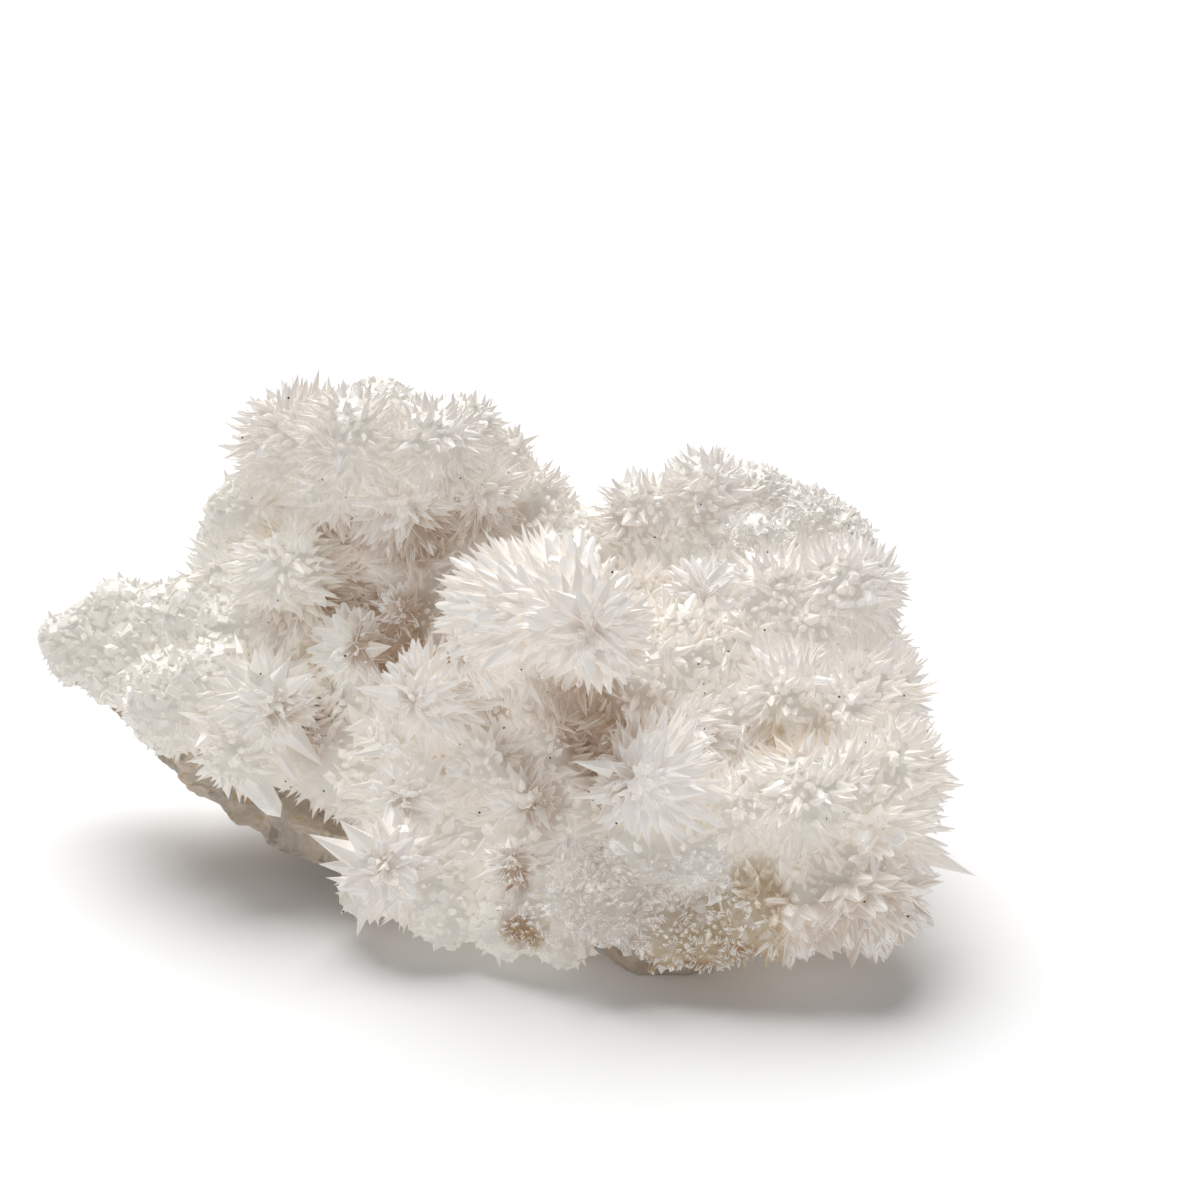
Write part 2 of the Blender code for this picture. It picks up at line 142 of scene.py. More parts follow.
# Lumps of radiating crystals: centre, reach of the crystals, pole's turn from the front and tilt from level,
# half angle of the cap that carries them, number of crystals, their half width, kind
LUMPS = {
    "left_wing": {
        "wing_tip": ((-103, 33, 48), 6.5, -60, 20, 100, 60, 1.7, "sugar"),
        "wing_end": ((-100, 31, 43), 6.5, -60, 0, 100, 60, 1.7, "sugar"),
        "wing_top": ((-89, 36, 54), 9, -20, 50, 95, 60, 1.7, "sugar"),
        "wing_inner": ((-77, 32, 53), 11, -10, 50, 90, 60, 1.8, "sugar"),
        "wing_low": ((-90, 26, 41), 7.5, -30, 5, 80, 50, 1.8, "sugar"),
        "wing_fill": ((-96, 33, 50), 8, -30, 50, 90, 50, 1.6, "sugar"),
        "wing_middle": ((-83, 29, 47), 11, -10, 30, 90, 60, 2.0, "sugar"),
        "wing_root": ((-68, 27, 56), 12, -20, 40, 90, 60, 2.0, "sugar"),
        "wing_front": ((-80, 20, 41), 9.5, -20, 10, 90, 50, 2.2, "sugar"),
    },
    "left": {
        "left_high": ((-58, 36, 79), 10, -50, 45, 90, 80, 1.6, "sugar"),
        "left_ledge": ((-60, 36, 72), 10, -50, 30, 90, 70, 1.6, "sugar"),
        "left_blades": ((-61, 32, 66), 11, -40, 40, 95, 90, 2.0, "dome"),
        "left_bright": ((-46, 20, 71), 15, 10, 50, 110, 150, 2.0, "dome"),
        "left_fan": ((-60, 20, 56), 11, -20, 20, 80, 80, 1.8, "sugar"),
        "low_left": ((-72, 12, 42), 14.5, -25, 15, 95, 100, 2.6, "sugar"),
        "low_middle": ((-62, 8, 48), 12, -10, 20, 90, 60, 2.4, "sugar"),
        "low_spears": ((-51, 0, 48), 14, 20, 10, 95, 70, 3.2, "fan"),
        "low_blunt": ((-57, -4, 37), 11, 20, -15, 80, 40, 3.2, "dome"),
        "inner_star": ((-31, 8, 57), 11, 15, 35, 95, 60, 2.6, "star"),
        "inner_back": ((-38, 22, 59), 9, 10, 60, 80, 60, 1.8, "fan"),
    },
    "upper": {
        "upper_left": ((-44, 36, 96), 17, -60, 25, 105, 150, 2.0, "dome"),
        "upper_front": ((-31, 24, 102), 14, -25, 60, 115, 130, 2.2, "dome"),
        "upper_bright": ((-12, 22, 101), 13, 15, 55, 115, 150, 1.8, "dome"),
        "upper_top": ((-26, 44, 100), 11, 0, 80, 100, 150, 1.1, "sugar"),
        "upper_right": ((-5, 36, 100), 10, 50, 50, 100, 130, 1.3, "dome"),
        "upper_under": ((-19, 22, 88), 15, 5, -5, 95, 120, 1.5, "spears"),
        "upper_under_right": ((-2, 28, 88), 12, 40, -5, 95, 90, 1.4, "spears"),
        "upper_under_left": ((-39, 30, 85), 12, -30, 20, 95, 100, 1.8, "dome"),
        "upper_ledge": ((-34, 24, 92), 12, -10, 50, 110, 90, 2.0, "dome"),
        "shoulder": ((10, 38, 81), 11, 60, 40, 95, 120, 1.5, "dome"),
        "shoulder_back": ((3, 44, 91), 8, 70, 50, 95, 90, 1.2, "dome"),
        "saddle": ((20, 34, 74), 9, 20, 70, 95, 70, 1.2, "sugar"),
    },
    "centre": {
        "centre": ((22.5, -23.5, 78), 16, 5, 14, 105, 160, 2.8, "star"),
        "centre_left": ((4, -12, 76), 17, -40, 25, 100, 130, 2.5, "star"),
        "centre_top": ((16, -14, 82), 15, -5, 50, 80, 60, 2.5, "star"),
        "centre_low_left": ((2, -14, 68), 12, -50, -5, 90, 90, 1.8, "fan"),
        "hollow_star": ((-20, 14, 64), 8, 10, 20, 80, 50, 1.4, "deep"),
        "hollow_low": ((-22, 16, 54), 9, 10, 20, 80, 50, 1.4, "deep"),
        "hollow_right": ((28, 2, 58), 9, 20, 10, 80, 50, 1.6, "deep"),
        "hollow_floor": ((33, -8, 49), 9, 0, 20, 80, 40, 1.8, "deep"),
        "behind_centre": ((36, 16, 66), 11, 20, 60, 95, 90, 1.7, "dome"),
        "blunt_middle": ((44, -2, 65), 10, 10, 40, 95, 60, 2.4, "dome"),
    },
    "middle": {
        "middle_left": ((-10, -8, 53), 15, -40, 10, 100, 140, 2.1, "star"),
        "middle_low_left": ((-18, -8, 41), 11, -60, -5, 85, 80, 1.9, "fan"),
        "inner_low": ((-16, -16, 32), 12, -20, 20, 95, 70, 2.6, "fan"),
        "low_hollow": ((-37, -2, 34), 8, 0, 30, 80, 40, 1.8, "deep"),
        "grey_left": ((-7, -6, 38), 9, -10, 10, 80, 50, 1.6, "deep"),
        "grey_middle": ((1, -14, 39), 12, 5, 35, 100, 80, 2.4, "dome"),
        "grey_upper": ((-1, -6, 46), 10, -10, 45, 95, 60, 2.2, "dome"),
        "grey_right": ((10, -8, 43), 10, 15, 35, 95, 60, 2.4, "dome"),
        "grey_star": ((8, -24, 35), 10, 30, 5, 90, 45, 2.4, "star"),
    },
    "lower_front": {
        "bottom_left": ((-19, -28, 20), 14, -25, 25, 95, 70, 3.2, "fan"),
        "bottom_chunk": ((-27, -26, 13), 7, -40, -10, 80, 30, 2.2, "sugar"),
        "bottom_fill": ((-12, -30, 15), 10, -20, 10, 90, 40, 2.2, "sugar"),
        "edge_left": ((-8, -32, 10), 8, -20, 0, 85, 40, 1.5, "sugar"),
        "edge_middle": ((5, -35, 9), 8, -10, 0, 85, 40, 1.5, "sugar"),
        "edge_right": ((18, -39, 9), 8, 0, 0, 85, 40, 1.5, "sugar"),
        "little_fan": ((7, -36, 25), 8, 0, 55, 75, 40, 1.3, "star"),
        "druse_left": ((11, -38, 15), 8, -10, 10, 85, 20, 1.2, "druse"),
        "druse_middle": ((21, -38, 19), 9, 0, 10, 85, 20, 1.2, "druse"),
        "druse_front": ((30, -42, 19), 10, 0, 15, 90, 30, 1.2, "druse"),
        "druse_upper": ((36, -38, 29), 10, 0, 30, 90, 40, 1.2, "druse"),
        "druse_right": ((47, -42, 29), 9, 0, 30, 90, 40, 1.3, "druse"),
        "druse_low": ((41, -45, 13), 8, 0, 10, 80, 20, 1.0, "druse"),
        "druse_foot": ((58, -46, 19), 9, -5, 0, 85, 30, 1.2, "druse"),
        "druse_under": ((51, -45, 14), 9, 0, 0, 85, 20, 1.2, "druse"),
    },
    "right_top": {
        "peak_left": ((36, 30, 82), 11, -35, 45, 100, 110, 1.6, "dome"),
        "peak": ((50, 32, 86), 12, 0, 60, 110, 170, 1.3, "dome"),
        "peak_right": ((63, 36, 83), 9, 20, 60, 95, 90, 1.2, "druse"),
        "druse_top": ((74, 32, 77), 11, 25, 55, 95, 90, 1.0, "druse"),
        "druse_edge": ((83, 29, 75), 8, 55, 40, 95, 60, 1.1, "druse"),
        "druse_ledge": ((62, 22, 76), 10, 0, 40, 95, 60, 1.3, "druse"),
        "small_star": ((50, 8, 69), 12, 0, 30, 90, 110, 1.6, "star"),
        "right_inner": ((65, 8, 70), 13, 5, 55, 110, 150, 1.5, "dome"),
        "right_upper": ((82, 8, 71), 15, 40, 50, 110, 200, 1.5, "dome"),
        "right_upper_fill": ((73, 2, 64), 12, 10, 40, 100, 130, 1.4, "dome"),
    },
    "right": {
        "right_fan": ((40, -32, 43), 18, -45, 25, 95, 150, 2.1, "star"),
        "right_fan_upper": ((47, -16, 48), 13, -45, 35, 95, 130, 1.8, "fan"),
        "right_mid_left": ((68, -12, 54), 15, -10, 60, 115, 210, 1.5, "dome"),
        "right_mid": ((85, -6, 51), 17, 35, 50, 115, 230, 1.6, "dome"),
        "right_mid_inner": ((56, -12, 51), 12, -40, 45, 95, 120, 1.6, "dome"),
        "right_mid_fill": ((77, -14, 50), 15, 15, 55, 105, 150, 1.5, "dome"),
    },
    "right_low": {
        "right_bright": ((70, -34, 40), 16, -5, 65, 115, 230, 1.7, "dome"),
        "right_bright_side": ((89, -24, 41), 16, 50, 50, 110, 200, 1.7, "dome"),
        "right_bright_fill": ((79, -30, 41), 15, 20, 60, 110, 150, 1.6, "dome"),
        "right_bright_left": ((58, -34, 38), 12, -30, 45, 100, 110, 1.6, "dome"),
        "right_spears": ((84, -30, 33), 20, 25, -30, 80, 90, 2.6, "spears"),
        "right_low": ((80, -38, 24), 19, 25, -40, 70, 60, 3.2, "spears"),
        "right_foot": ((84, -36, 20), 18, 50, -32, 70, 50, 3.0, "spears"),
        "bottom_right": ((68, -40, 20), 17, 0, -45, 70, 50, 3.0, "spears"),
        "right_back": ((86, 14, 52), 14, 100, 20, 100, 130, 1.8, "dome"),
        "right_under": ((88, 0, 34), 13, 80, 0, 100, 90, 2.4, "dome"),
    },
}

# Lumps whose crystals lean towards the root of another lump's
LEANING = {"centre_left": "centre", "centre_top": "centre"}

# Crystals that stand out: foot, tip, half width at the widest, form
STANDING = {
    "long_right": ((86, -27, 29), (110, -28, 18), 3.6, "sharp"),
    "right_second": ((84, -28, 30), (104, -28, 21), 3.4, "sharp"),
    "big_blunt": ((-60, -4, 41), (-47, -12, 24), 4.8, "blunt"),
    "big_spear": ((-53, -1, 50), (-37, -8, 35), 4.6, "sharp"),
    "big_third": ((-54, -2, 46), (-42, -10, 31), 3.6, "sharp"),
    "low_up": ((-51, 0, 48), (-51, -8, 65), 3.2, "sharp"),
    "low_side": ((-50, 0, 48), (-39, -9, 59), 3.0, "sharp"),
    "star_left": ((-32, 8, 56), (-21, -1, 62), 3.0, "sharp"),
    "star_right": ((-31, 8, 56), (-22, -2, 52), 2.8, "sharp"),
    "bottom_one": ((-20, -27, 18), (-38, -34, 32), 4.0, "sharp"),
    "bottom_two": ((-20, -27, 18), (-31, -35, 36), 4.0, "sharp"),
    "bottom_three": ((-20, -27, 18), (-36, -35, 25), 3.4, "sharp"),
    "middle_one": ((-12, -9, 52), (-29, -14, 58), 3.2, "sharp"),
    "middle_two": ((-14, -9, 42), (-30, -16, 42), 3.0, "sharp"),
    "middle_three": ((-16, -14, 32), (-32, -20, 36), 3.2, "sharp"),
    "front_one": ((36, -30, 44), (20, -38, 52), 2.7, "sharp"),
    "front_two": ((38, -30, 42), (19, -40, 44), 2.6, "sharp"),
    "upper_spear": ((-31, 24, 98), (-36, 10, 98), 2.8, "sharp"),
    "upper_side": ((-44, 34, 94), (-63, 32, 98), 3.0, "sharp"),
    "upper_side_low": ((-44, 34, 92), (-61, 30, 91), 2.8, "sharp"),
}

# Clear crystals at the foot of the front: foot, tip, half width
CLEAR_CRYSTALS = (
    ((25, -44, 17), (27, -55, 21), 3.4), ((22, -44, 15), (22.5, -53, 15), 2.4),
    ((17, -42, 13), (16, -50, 13), 2.0), ((59, 22, 80), (60, 13, 84), 2.4),
    ((71, 26, 82), (72, 19, 87), 2.0), ((31, -46, 14), (32, -54, 13), 1.9),
    ((47, -46, 22), (48, -54, 24), 1.8), ((40, -44, 28), (40, -52, 31), 1.8),
)

# How many grains of the druse are clear, and the direction that the broad sides of standing crystals face
CLEAR_GRAINS = 300
BACKWARDS = (0.0, 0.9, -0.4)

# Inner run of the crust, as a point and its thickness
SPINE = {
    "wing_end": ((-94, 36, 42), 6),
    "wing": ((-74, 30, 42), 10),
    "left": ((-50, 22, 46), 15),
    "left_low": ((-40, 8, 33), 12),
    "upper_back": ((-32, 37, 76), 11),
    "upper": ((-20, 38, 90), 14),
    "back_middle": ((4, 34, 66), 13),
    "back_right": ((48, 30, 66), 15),
    "middle": ((6, 4, 46), 14),
    "centre": ((22, -8, 58), 12),
    "right": ((70, 8, 54), 17),
    "front_left": ((-10, -16, 22), 10),
    "front": ((24, -24, 22), 11),
    "front_right": ((62, -26, 28), 13),
    "hollow": ((-16, 26, 64), 12),
    "hollow_right": ((26, 14, 52), 10),
}
LINKS = (
    ("wing_end", "wing"), ("wing", "left"), ("left", "left_low"), ("left", "upper_back"),
    ("upper_back", "upper"), ("upper", "back_middle"), ("back_middle", "back_right"),
    ("left_low", "middle"), ("back_middle", "middle"), ("middle", "centre"), ("centre", "right"),
    ("back_right", "right"), ("left_low", "front_left"), ("front_left", "front"), ("middle", "front"),
    ("front", "front_right"), ("front_right", "right"), ("upper_back", "hollow"), ("hollow", "middle"),
    ("middle", "hollow_right"), ("hollow_right", "back_right"), ("hollow_right", "right"),
)

# Look of each zone's crystals: roughness, tint
ZONE_LOOKS = {
    "left_wing": (0.42, (0.93, 0.94, 0.91)),
    "left": (0.38, (0.99, 1.0, 0.98)),
    "upper": (0.42, (0.92, 0.915, 0.905)),
    "centre": (0.42, (1.03, 1.01, 0.985)),
    "middle": (0.40, (0.98, 0.97, 0.95)),
    "lower_front": (0.30, (0.96, 0.94, 0.92)),
    "right_top": (0.38, (0.97, 0.97, 0.98)),
    "right": (0.42, (1.0, 1.0, 1.0)),
    "right_low": (0.42, (1.0, 1.0, 0.99)),
}

# Colours of marks and grains, each one the same on every piece
BLACK_GRAIN = (0.03, 0.025, 0.02)
# Painted highlight along the crystals' edges, also laid on their pale ribs
EDGE_HIGHLIGHT_AND_RIBS = (1.0, 0.985, 0.96)
DARK_CRACK = (0.08, 0.05, 0.035)
TAN_GRAIN = (0.60, 0.46, 0.30)
RUST = (0.38, 0.19, 0.07)
DUST = (0.60, 0.52, 0.45)
ROCK_GRAIN = (0.70, 0.62, 0.52)
ROCK_MARK = (0.20, 0.14, 0.09)
YELLOW_GRAIN = (0.62, 0.38, 0.13)
HEART_TINT = (0.88, 0.885, 0.86)

# Honey-coloured patches: middle, inner and outer distance
AMBER_PLACES = (
    ((68, -26, 52), 5, 12), ((54, -2, 62), 4, 10), ((-66, 10, 42), 4, 9), ((-52, 20, 86), 3, 8),
    ((-40, 14, 52), 3, 8), ((54, -49, 13), 5, 15), ((42, -47, 8), 3, 9), ((11, -42, 13), 2, 7),
    ((62, -46, 22), 3, 9),
)

# Hollows given a painted brown shade: middle, inner and outer distance, strength
HOLLOW_SHADE_PLACES = (
    ((-20, 8, 60), 5, 15, 0.85), ((22, -12, 55), 5, 15, 0.95), ((-37, 0, 38), 4, 11, 0.7),
    ((14, -22, 30), 3, 10, 0.5), ((44, -2, 57), 3, 9, 0.5), ((-16, 16, 77), 4, 14, 0.5),
    ((84, -42, 14), 10, 26, 0.9), ((54, -48, 12), 6, 18, 0.8), ((-8, -2, 36), 4, 12, 0.4),
    ((16, -28, 61), 4, 13, 0.8), ((84, -30, 22), 6, 16, 0.5), ((32, -44, 16), 6, 22, 0.75),
    ((20, -26, 62), 5, 12, 0.6),
)

# Rusty grains: middle, inner and outer distance
RUST_PLACES = (
    ((7.5, -42, 25), 2.5, 5.5), ((9, -43, 13), 2.5, 6.5), ((48, -50, 6), 3.0, 7.0),
    ((56, -50, 14), 1.5, 5.5), ((-56, 2, 33), 1.0, 3.5), ((-37, -16, 20), 1.0, 3.0),
    ((38, -48, 8), 1.0, 4.0),
)

# Places where the crust is mixed with tan grains of the host rock: middle, inner and outer distance
TAN_PLACES = (
    ((54, -48, 12), 9, 20), ((42, -46, 8), 6, 14), ((10, -42, 13), 2, 8), ((60, -46, 24), 3, 10),
    ((-28, -24, 12), 2, 9),
)

# Hollows whose floor is crossed by dark cracks: middle, inner and outer distance
CRACKED_PLACES = (((24, -10, 52), 5, 11), ((-38, 4, 42), 5, 12))

# Metres a pixel at the specimen, pixels a side, and the point that the camera looks at
PIXEL = 0.000221
FRAME_SIDE = 1200
AIM = (0.026, -0.009, 0.077)
SENSOR = 36.0

# Lights: name, the setting that holds its strength, its spread in degrees, the way that it shines
LIGHTS = (
    ("overhead light", "overhead", 55, (0.17, -0.50, -1.0)),
    ("front fill", "fill", 110, (0.15, 0.9, -0.75)),
)


class CrystalSettings(bpy.types.PropertyGroup):
    """How the crystals and the massive calcite are built and coloured."""

    seed: IntProperty(name="Seed", description="Starts the scatter of the crystals", default=11, min=0)
    fullness: FloatProperty(
        name="Fullness", description="Makes every lump's massive heart larger or smaller",
        default=1.0, min=0.5, max=1.1, subtype="FACTOR",
    )
    foot_share: FloatProperty(
        name="Foot", description="Where a crystal starts, as a share of the way from its root to its tip",
        default=0.10, min=0.1, max=0.6, subtype="FACTOR",
    )
    scatter: FloatProperty(
        name="Scatter", description="How far a crystal strays from its even place on the cap",
        default=0.09, min=0.0, max=0.4, subtype="ANGLE",
    )
    heart_grain: FloatProperty(
        name="Heart grain", description="Size of the squares that skin the massive calcite",
        default=1.35 * MM, min=0.8 * MM, max=4 * MM, unit="LENGTH",
    )
    # Painted glow: an emission that stands in for light scattered back out of the milky inside
    glow: FloatProperty(
        name="Inner glow", description="Share of the light that comes back out of the milky inside",
        default=0.24, min=0.0, max=1.0, subtype="FACTOR",
    )
    milk: FloatVectorProperty(
        name="Milk", description="Colour of the open crystals", subtype="COLOR", default=(0.98, 0.93, 0.875),
    )
    # Painted shade: colours laid where crystals are less open to the sky, beige between the lumps and brown
    # in the deepest hollows
    shade: FloatVectorProperty(
        name="Shade", description="Colour of crystals low between the lumps", subtype="COLOR",
        default=(0.54, 0.41, 0.31),
    )
    hollow: FloatVectorProperty(
        name="Hollow", description="Stain in the deepest hollows", subtype="COLOR",
        default=(0.33, 0.21, 0.14),
    )
    # Painted shade: the brown laid over the listed hollows, strongest where they are least open
    painted_hollow_brown: FloatVectorProperty(
        name="Stain", description="Brown film in the hollows", subtype="COLOR", default=(0.44, 0.28, 0.17),
    )
    amber: FloatVectorProperty(
        name="Amber", description="Honey-coloured patches", subtype="COLOR", default=(0.66, 0.50, 0.32),
    )


class RockSettings(bpy.types.PropertyGroup):
    """How the host rock is built and coloured."""

    grain: FloatProperty(
        name="Grain", description="Size of the squares that skin the rock", default=0.95 * MM,
        min=0.6 * MM, max=4 * MM, unit="LENGTH",
    )
    relief: FloatProperty(
        name="Relief", description="Height of the rock's small lumps", default=1.2 * MM, min=0.0, max=3 * MM,
        unit="LENGTH",
    )
    tan: FloatVectorProperty(
        name="Tan", description="Upper bed of the rock", subtype="COLOR", default=(0.72, 0.61, 0.50),
    )
    grey: FloatVectorProperty(
        name="Grey", description="Lower bed of the rock", subtype="COLOR", default=(0.53, 0.455, 0.385),
    )


class StageSettings(bpy.types.PropertyGroup):
    """The floor, the light and the view."""

    distance: FloatProperty(
        name="Distance", description="From the camera to the point that it looks at", default=0.6, min=0.2,
        unit="LENGTH",
    )
    elevation: FloatProperty(
        name="Elevation", description="How far the camera looks down", default=math.radians(24),
        subtype="ANGLE",
    )
    overhead: FloatProperty(
        name="Overhead", description="Strength of the light from above", default=3.9, min=0.0,
    )
    fill: FloatProperty(
        name="Fill", description="Strength of the soft light from the front", default=0.38, min=0.0,
    )
    sky: FloatProperty(name="Sky", description="Strength of the white surround", default=0.06, min=0.0)


class Value:
    """A number in a material's nodes: an expression on it adds the Math nodes that work it out."""

    def __init__(self, paint, socket):
        self.paint = paint
        self.socket = socket

    def by(self, operation, *others, clamp=False):
        made = self.paint.node(
            "ShaderNodeMath", {"operation": operation, "use_clamp": clamp}, dict(enumerate(others))
        )
        return Value(self.paint, made.outputs[0])

    def __add__(self, other):
        return self.by("ADD", self, other)

    __radd__ = __add__

    def __sub__(self, other):
        return self.by("SUBTRACT", self, other)

    def __rsub__(self, other):
        return self.by("SUBTRACT", other, self)

    def __mul__(self, other):
        return self.by("MULTIPLY", self, other)

    __rmul__ = __mul__

    def __truediv__(self, other):
        return self.by("DIVIDE", self, other)

    def __rtruediv__(self, other):
        return self.by("DIVIDE", other, self)

    def __abs__(self):
        return self.by("ABSOLUTE", self)

    def at_least(self, other):
        return self.by("MAXIMUM", self, other)

    def clamped(self):
        return self.by("ADD", self, 0.0, clamp=True)

    def ramp(self, low, high, start=0.0, end=1.0):
        """Goes smoothly from start to end while the value goes from low to high."""
        made = self.paint.node(
            "ShaderNodeMapRange", {"interpolation_type": "SMOOTHSTEP"},
            {"Value": self, "From Min": low, "From Max": high, "To Min": start, "To Max": end},
        )
        return Value(self.paint, made.outputs["Result"])


class Paint:
    """One material: its nodes and the shader that they feed."""

    def __init__(self, name):
        self.material = bpy.data.materials.new(name)
        self.material.use_nodes = True
        self.tree = self.material.node_tree
        self.shader = self.tree.nodes["Principled BSDF"]
        self.place = self.node("ShaderNodeTexCoord").outputs["Object"]

    def node(self, kind, settings=None, inputs=None):
        """Adds a node of this kind, with its settings made before its sockets are fed."""
        made = self.tree.nodes.new(kind)
        for key, value in (settings or {}).items():
            setattr(made, key, value)
        for key, value in (inputs or {}).items():
            self.feed(made.inputs[key], value)
        return made

    def feed(self, socket, value):
        if isinstance(value, Value):
            self.tree.links.new(value.socket, socket)
        elif isinstance(value, bpy.types.NodeSocket):
            self.tree.links.new(value, socket)
        elif socket.type == "RGBA" and len(value) == 3:
            socket.default_value = (*value, 1.0)
        else:
            socket.default_value = value

    def finish(self, **inputs):
        """Feeds the shader's sockets, named with underscores for spaces."""
        for key, value in inputs.items():
            self.feed(self.shader.inputs[key.replace("_", " ")], value)
        return self.material

    def mix(self, factor, first, second, blend="MIX"):
        made = self.node(
            "ShaderNodeMix", {"data_type": "RGBA", "blend_type": blend, "clamp_factor": True},
            {0: factor, 6: first, 7: second},
        )
        return made.outputs[2]

    def noise(self, size, detail=3.0, rough=0.5, place=None):
        """Cloudy noise about 0.5, with lumps of this size in millimetres."""
        made = self.node(
            "ShaderNodeTexNoise", {"noise_dimensions": "3D"},
            {"Vector": place or self.place, "Scale": 1 / (size * MM), "Detail": detail, "Roughness": rough},
        )
        return Value(self, made.outputs[0])

    def cells(self, size, feature="F1"):
        """Cells of this size in millimetres, each about its own point."""
        return self.node(
            "ShaderNodeTexVoronoi", {"feature": feature}, {"Vector": self.place, "Scale": 1 / (size * MM)}
        )

    def attribute(self, name):
        return Value(self, self.node("ShaderNodeAttribute", {"attribute_name": name}).outputs["Fac"])

    def near(self, point, inner, outer):
        """1 within the inner distance of a point, fading to 0 at the outer one, in millimetres."""
        middle = tuple(c * MM for c in point)
        made = self.node("ShaderNodeVectorMath", {"operation": "DISTANCE"}, {0: self.place, 1: middle})
        return Value(self, made.outputs["Value"]).ramp(inner * MM, outer * MM, 1.0, 0.0)

    def split(self, vector):
        made = self.node("ShaderNodeSeparateXYZ", None, {0: vector})
        return [Value(self, socket) for socket in made.outputs]

    def join(self, x, y, z):
        return self.node("ShaderNodeCombineXYZ", None, {0: x, 1: y, 2: z}).outputs[0]

    def bump(self, height, distance, strength=1.0, before=None):
        inputs = {"Height": height, "Distance": distance * MM, "Strength": strength}
        if before is not None:
            inputs["Normal"] = before
        return self.node("ShaderNodeBump", None, inputs).outputs[0]


def specks(paint):
    """Sparse black grains: 1 on a grain."""
    cells = paint.cells(5.0)
    pick = paint.split(cells.outputs["Color"])[0].ramp(0.52, 0.54)
    return Value(paint, cells.outputs["Distance"]).ramp(0.045, 0.065, 1.0, 0.0) * pick


def calcite_colour(paint, settings, opened, tone):
    """The milky colour with painted shade: beige where a place is less open to the sky and brown in the
    hollows.
    """
    cloud = paint.noise(9.0, 4.0)
    # Painted shade: the less open a place, the more it turns from milk to shade and then to the hollow brown
    light = (opened + (cloud - 0.5) * 0.35).clamped()
    colour = paint.mix(light.ramp(0.02, 0.34), settings.hollow, settings.shade)
    colour = paint.mix(light.ramp(0.22, 0.70), colour, settings.milk)
    # Painted shade: brown laid over the hollows, stronger where they are less open to the sky
    for point, inner, outer, strength in HOLLOW_SHADE_PLACES:
        deep = paint.near(point, inner, outer) * strength * light.ramp(0.35, 0.95, 1.0, 0.45)
        colour = paint.mix(deep, colour, settings.painted_hollow_brown)
    honey = paint.noise(6.0, 3.0).ramp(0.35, 0.65)
    for point, inner, outer in AMBER_PLACES:
        colour = paint.mix(paint.near(point, inner, outer) * honey * 0.6, colour, settings.amber)
    tan = paint.noise(4.5, 4.0, 0.6).ramp(0.36, 0.52)
    for point, inner, outer in TAN_PLACES:
        colour = paint.mix(paint.near(point, inner, outer) * tan * 0.9, colour, TAN_GRAIN)
    rusty = paint.noise(1.3, 3.0).ramp(0.36, 0.50)
    for point, inner, outer in RUST_PLACES:
        colour = paint.mix(paint.near(point, inner, outer) * rusty * 0.85, colour, RUST)
    return paint.mix(tone.ramp(0.0, 1.0, 0.06, 0.0), colour, DUST)


def surface_share(paint, colour, glow):
    """The colour that is left for the surface, when the share glow of the light is painted on as a glow from
    inside.
    """
    return paint.mix(1.0, colour, (1.0 - glow,) * 3, "MULTIPLY")


def crystal_material(name, settings, roughness, glow, tint):
    """Milky crystals with a painted highlight along their edges, faint ribs along their length and painted
    shade at the foot.
    """
    paint = Paint(name)
    across, along, _ = paint.split(paint.node("ShaderNodeTexCoord").outputs["UV"])
    tone = paint.attribute("tone")
    opened = paint.attribute("opened")
    narrow = (2.0 - along).clamped().at_least(0.02)
    edge = (abs(across) / narrow).ramp(0.78, 1.0)
    ribs = paint.noise(1.0, 2.0, 0.5, paint.join(across * 0.0022, along * 0.0005, tone * 0.05))
    colour = calcite_colour(paint, settings, opened, tone)
    colour = paint.mix(1.0, colour, tint, "MULTIPLY")
    # Painted highlight along the edges, mixed with the real pale ribs
    colour = paint.mix(edge * 0.7 + (ribs - 0.42) * 0.7, colour, EDGE_HIGHLIGHT_AND_RIBS)
    colour = paint.mix(specks(paint), colour, BLACK_GRAIN)
    gloss = tone.ramp(0.0, 0.16, 0.09, roughness) + (paint.noise(1.4) - 0.5) * 0.25
    relief = paint.bump(ribs + edge * 0.3, 0.18, 0.5)
    relief = paint.bump(paint.noise(0.5, 2.0), 0.05, 0.35, relief)
    # Painted glow: the emission stands in for light scattered inside the milky calcite
    return paint.finish(
        Base_Color=surface_share(paint, colour, glow), Roughness=gloss, Normal=relief, IOR=1.6,
        Emission_Color=colour, Emission_Strength=glow,
    )


def clear_material(name, clearness, glow):
    """Clear calcite: it lets light through and bends it, with a faint milkiness in places."""
    paint = Paint(name)
    cloud = paint.noise(2.5, 3.0)
    colour = paint.mix(cloud.ramp(0.4, 0.65), (0.97, 0.965, 0.95), (0.90, 0.88, 0.85))
    gloss = paint.noise(1.2, 3.0).ramp(0.35, 0.7, 0.03, 0.22)
    # Painted glow: a faint emission stands in for light scattered inside the calcite
    return paint.finish(
        Base_Color=colour, Roughness=gloss, Normal=paint.bump(paint.noise(0.8, 2.0), 0.05, 0.4), IOR=1.6,
        Transmission_Weight=clearness, Emission_Color=colour, Emission_Strength=glow,
    )


